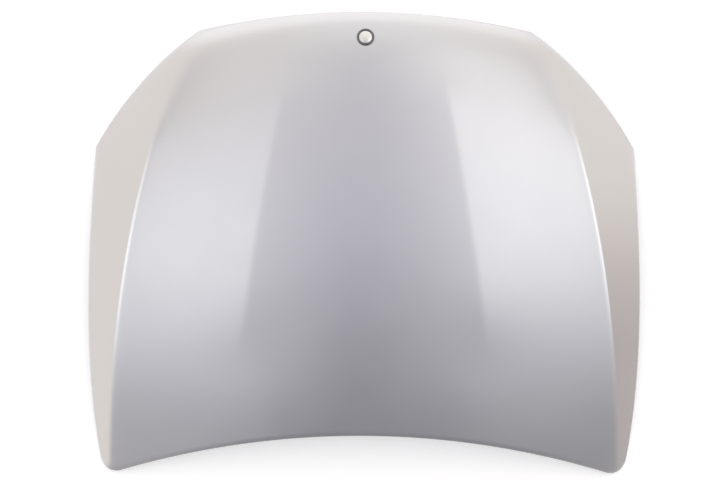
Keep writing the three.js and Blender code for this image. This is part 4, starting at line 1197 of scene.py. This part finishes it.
class BONNET_OT_badge(bpy.types.Operator):
    """Plain round badge: dark ring, bright domed disc and the clip behind the skin"""
    bl_idname = "bonnet.badge"
    bl_label = "Badge"

    def execute(self, context):
        middle, axis, low, high = axis_of("badge_ring")
        foot = middle + axis * (high - BADGE_RING_HEIGHT * MM)
        # Moulded ABS, satin chromed: nearly white metal that mirrors the light softly
        bright = rough_material(
            "satin_chromed_disc", ("#dddcd8", "#f0eeea"), rough=(0.16, 0.24), metallic=1, grain_mm=1.5,
            relief_mm=0.002,
        )
        # Moulded ABS, black chromed: a smoky grey metal, much darker than the disc, with a soft glint
        dark = rough_material(
            "black_chromed_ring", ("#535355", "#86868a"), rough=(0.2, 0.3), metallic=0.9, grain_mm=1.2,
            relief_mm=0.003,
        )
        # Moulded nylon as it leaves its mould: plain dark grey with a low sheen
        clip = rough_material(
            "moulded_nylon_clip", ("#27282a", "#333437"), rough=(0.55, 0.7), metallic=0, grain_mm=0.8,
            relief_mm=0.03,
        )
        pieces = (
            ("badge_ring", BADGE_RING_PROFILE, dark, "badge_dark"),
            ("badge_disc", BADGE_DISC_PROFILE, bright, "badge_bright"),
            ("badge_clip", BADGE_CLIP_PROFILE, clip, "clip_plastic"),
        )
        for node, profile, material, slot in pieces:
            piece = turned_object(node + "_piece", profile, BADGE_STEPS)
            break_edges(piece, BADGE_BEVEL, BADGE_BEVEL_ANGLE)
            shade(piece, PLATE_SMOOTH)
            stand_at(piece, foot, axis)
            finish_piece(piece, material, slot, node)
        return {"FINISHED"}


class BONNET_OT_stage(bpy.types.Operator):
    """Floor, soft light and the camera"""
    bl_idname = "bonnet.stage"
    bl_label = "Stage"

    def execute(self, context):
        stage = context.scene.bonnet_stage
        low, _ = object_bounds()
        bpy.ops.object.select_all(action="DESELECT")
        bpy.ops.mesh.primitive_plane_add(size=FLOOR_SIZE, location=(0, 0, low[2]))
        floor = context.active_object
        floor.name = "floor"
        # White studio paper, lit a little from behind: plain white, with only a faint shadow on it
        paper = rough_material(
            "white_studio_paper", ("#fafafa", "#fefefe"), rough=(0.6, 0.7), metallic=0, grain_mm=40,
            relief_mm=0.05, glow=0.32,
        )
        floor.data.materials.append(paper)
        floor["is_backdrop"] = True
        studio_light(context.scene, stage)
        camera_data = bpy.data.cameras.new("camera")
        camera_data.sensor_width = SENSOR_WIDTH
        camera_data.lens = SENSOR_WIDTH * stage.distance / (PICTURE_WIDTH * stage.scale * MM)
        camera_data.shift_x = PICTURE_SHIFT[0] / PICTURE_WIDTH
        camera_data.shift_y = PICTURE_SHIFT[1] / PICTURE_WIDTH
        camera = bpy.data.objects.new("camera", camera_data)
        way = Vector((0, -math.cos(stage.elevation), math.sin(stage.elevation)))
        camera.location = CAMERA_TARGET + way * stage.distance
        turn = (-way).to_track_quat("-Z", "Y").to_matrix().to_4x4()
        camera.rotation_euler = (turn @ Matrix.Rotation(stage.roll, 4, "Z")).to_euler()
        context.scene.collection.objects.link(camera)
        context.scene.camera = camera
        context.scene.view_settings.view_transform = "Standard"
        return {"FINISHED"}


class BONNET_PT_panel(bpy.types.Panel):
    bl_idname = "BONNET_PT_panel"
    bl_label = "Bonnet"
    bl_space_type = "VIEW_3D"
    bl_region_type = "UI"
    bl_category = "Bonnet"

    def draw(self, context):
        for operator in OPERATORS:
            self.layout.operator(operator.bl_idname)


OPERATORS = (
    BONNET_OT_skin, BONNET_OT_frame, BONNET_OT_fittings, BONNET_OT_loops, BONNET_OT_buffers,
    BONNET_OT_beads, BONNET_OT_badge, BONNET_OT_stage,
)
CLASSES = (BonnetPaint, BonnetStage, *OPERATORS, BONNET_PT_panel)


def register():
    for cls in CLASSES:
        bpy.utils.register_class(cls)
    bpy.types.Scene.bonnet_paint = PointerProperty(type=BonnetPaint)
    bpy.types.Scene.bonnet_stage = PointerProperty(type=BonnetStage)


def unregister():
    del bpy.types.Scene.bonnet_stage
    del bpy.types.Scene.bonnet_paint
    for cls in reversed(CLASSES):
        bpy.utils.unregister_class(cls)


def main():
    register()
    bpy.ops.bonnet.skin()
    bpy.ops.bonnet.frame()
    bpy.ops.bonnet.fittings()
    bpy.ops.bonnet.loops()
    bpy.ops.bonnet.buffers()
    bpy.ops.bonnet.beads()
    bpy.ops.bonnet.badge()
    bpy.ops.bonnet.stage()


if __name__ == "__main__":
    main()
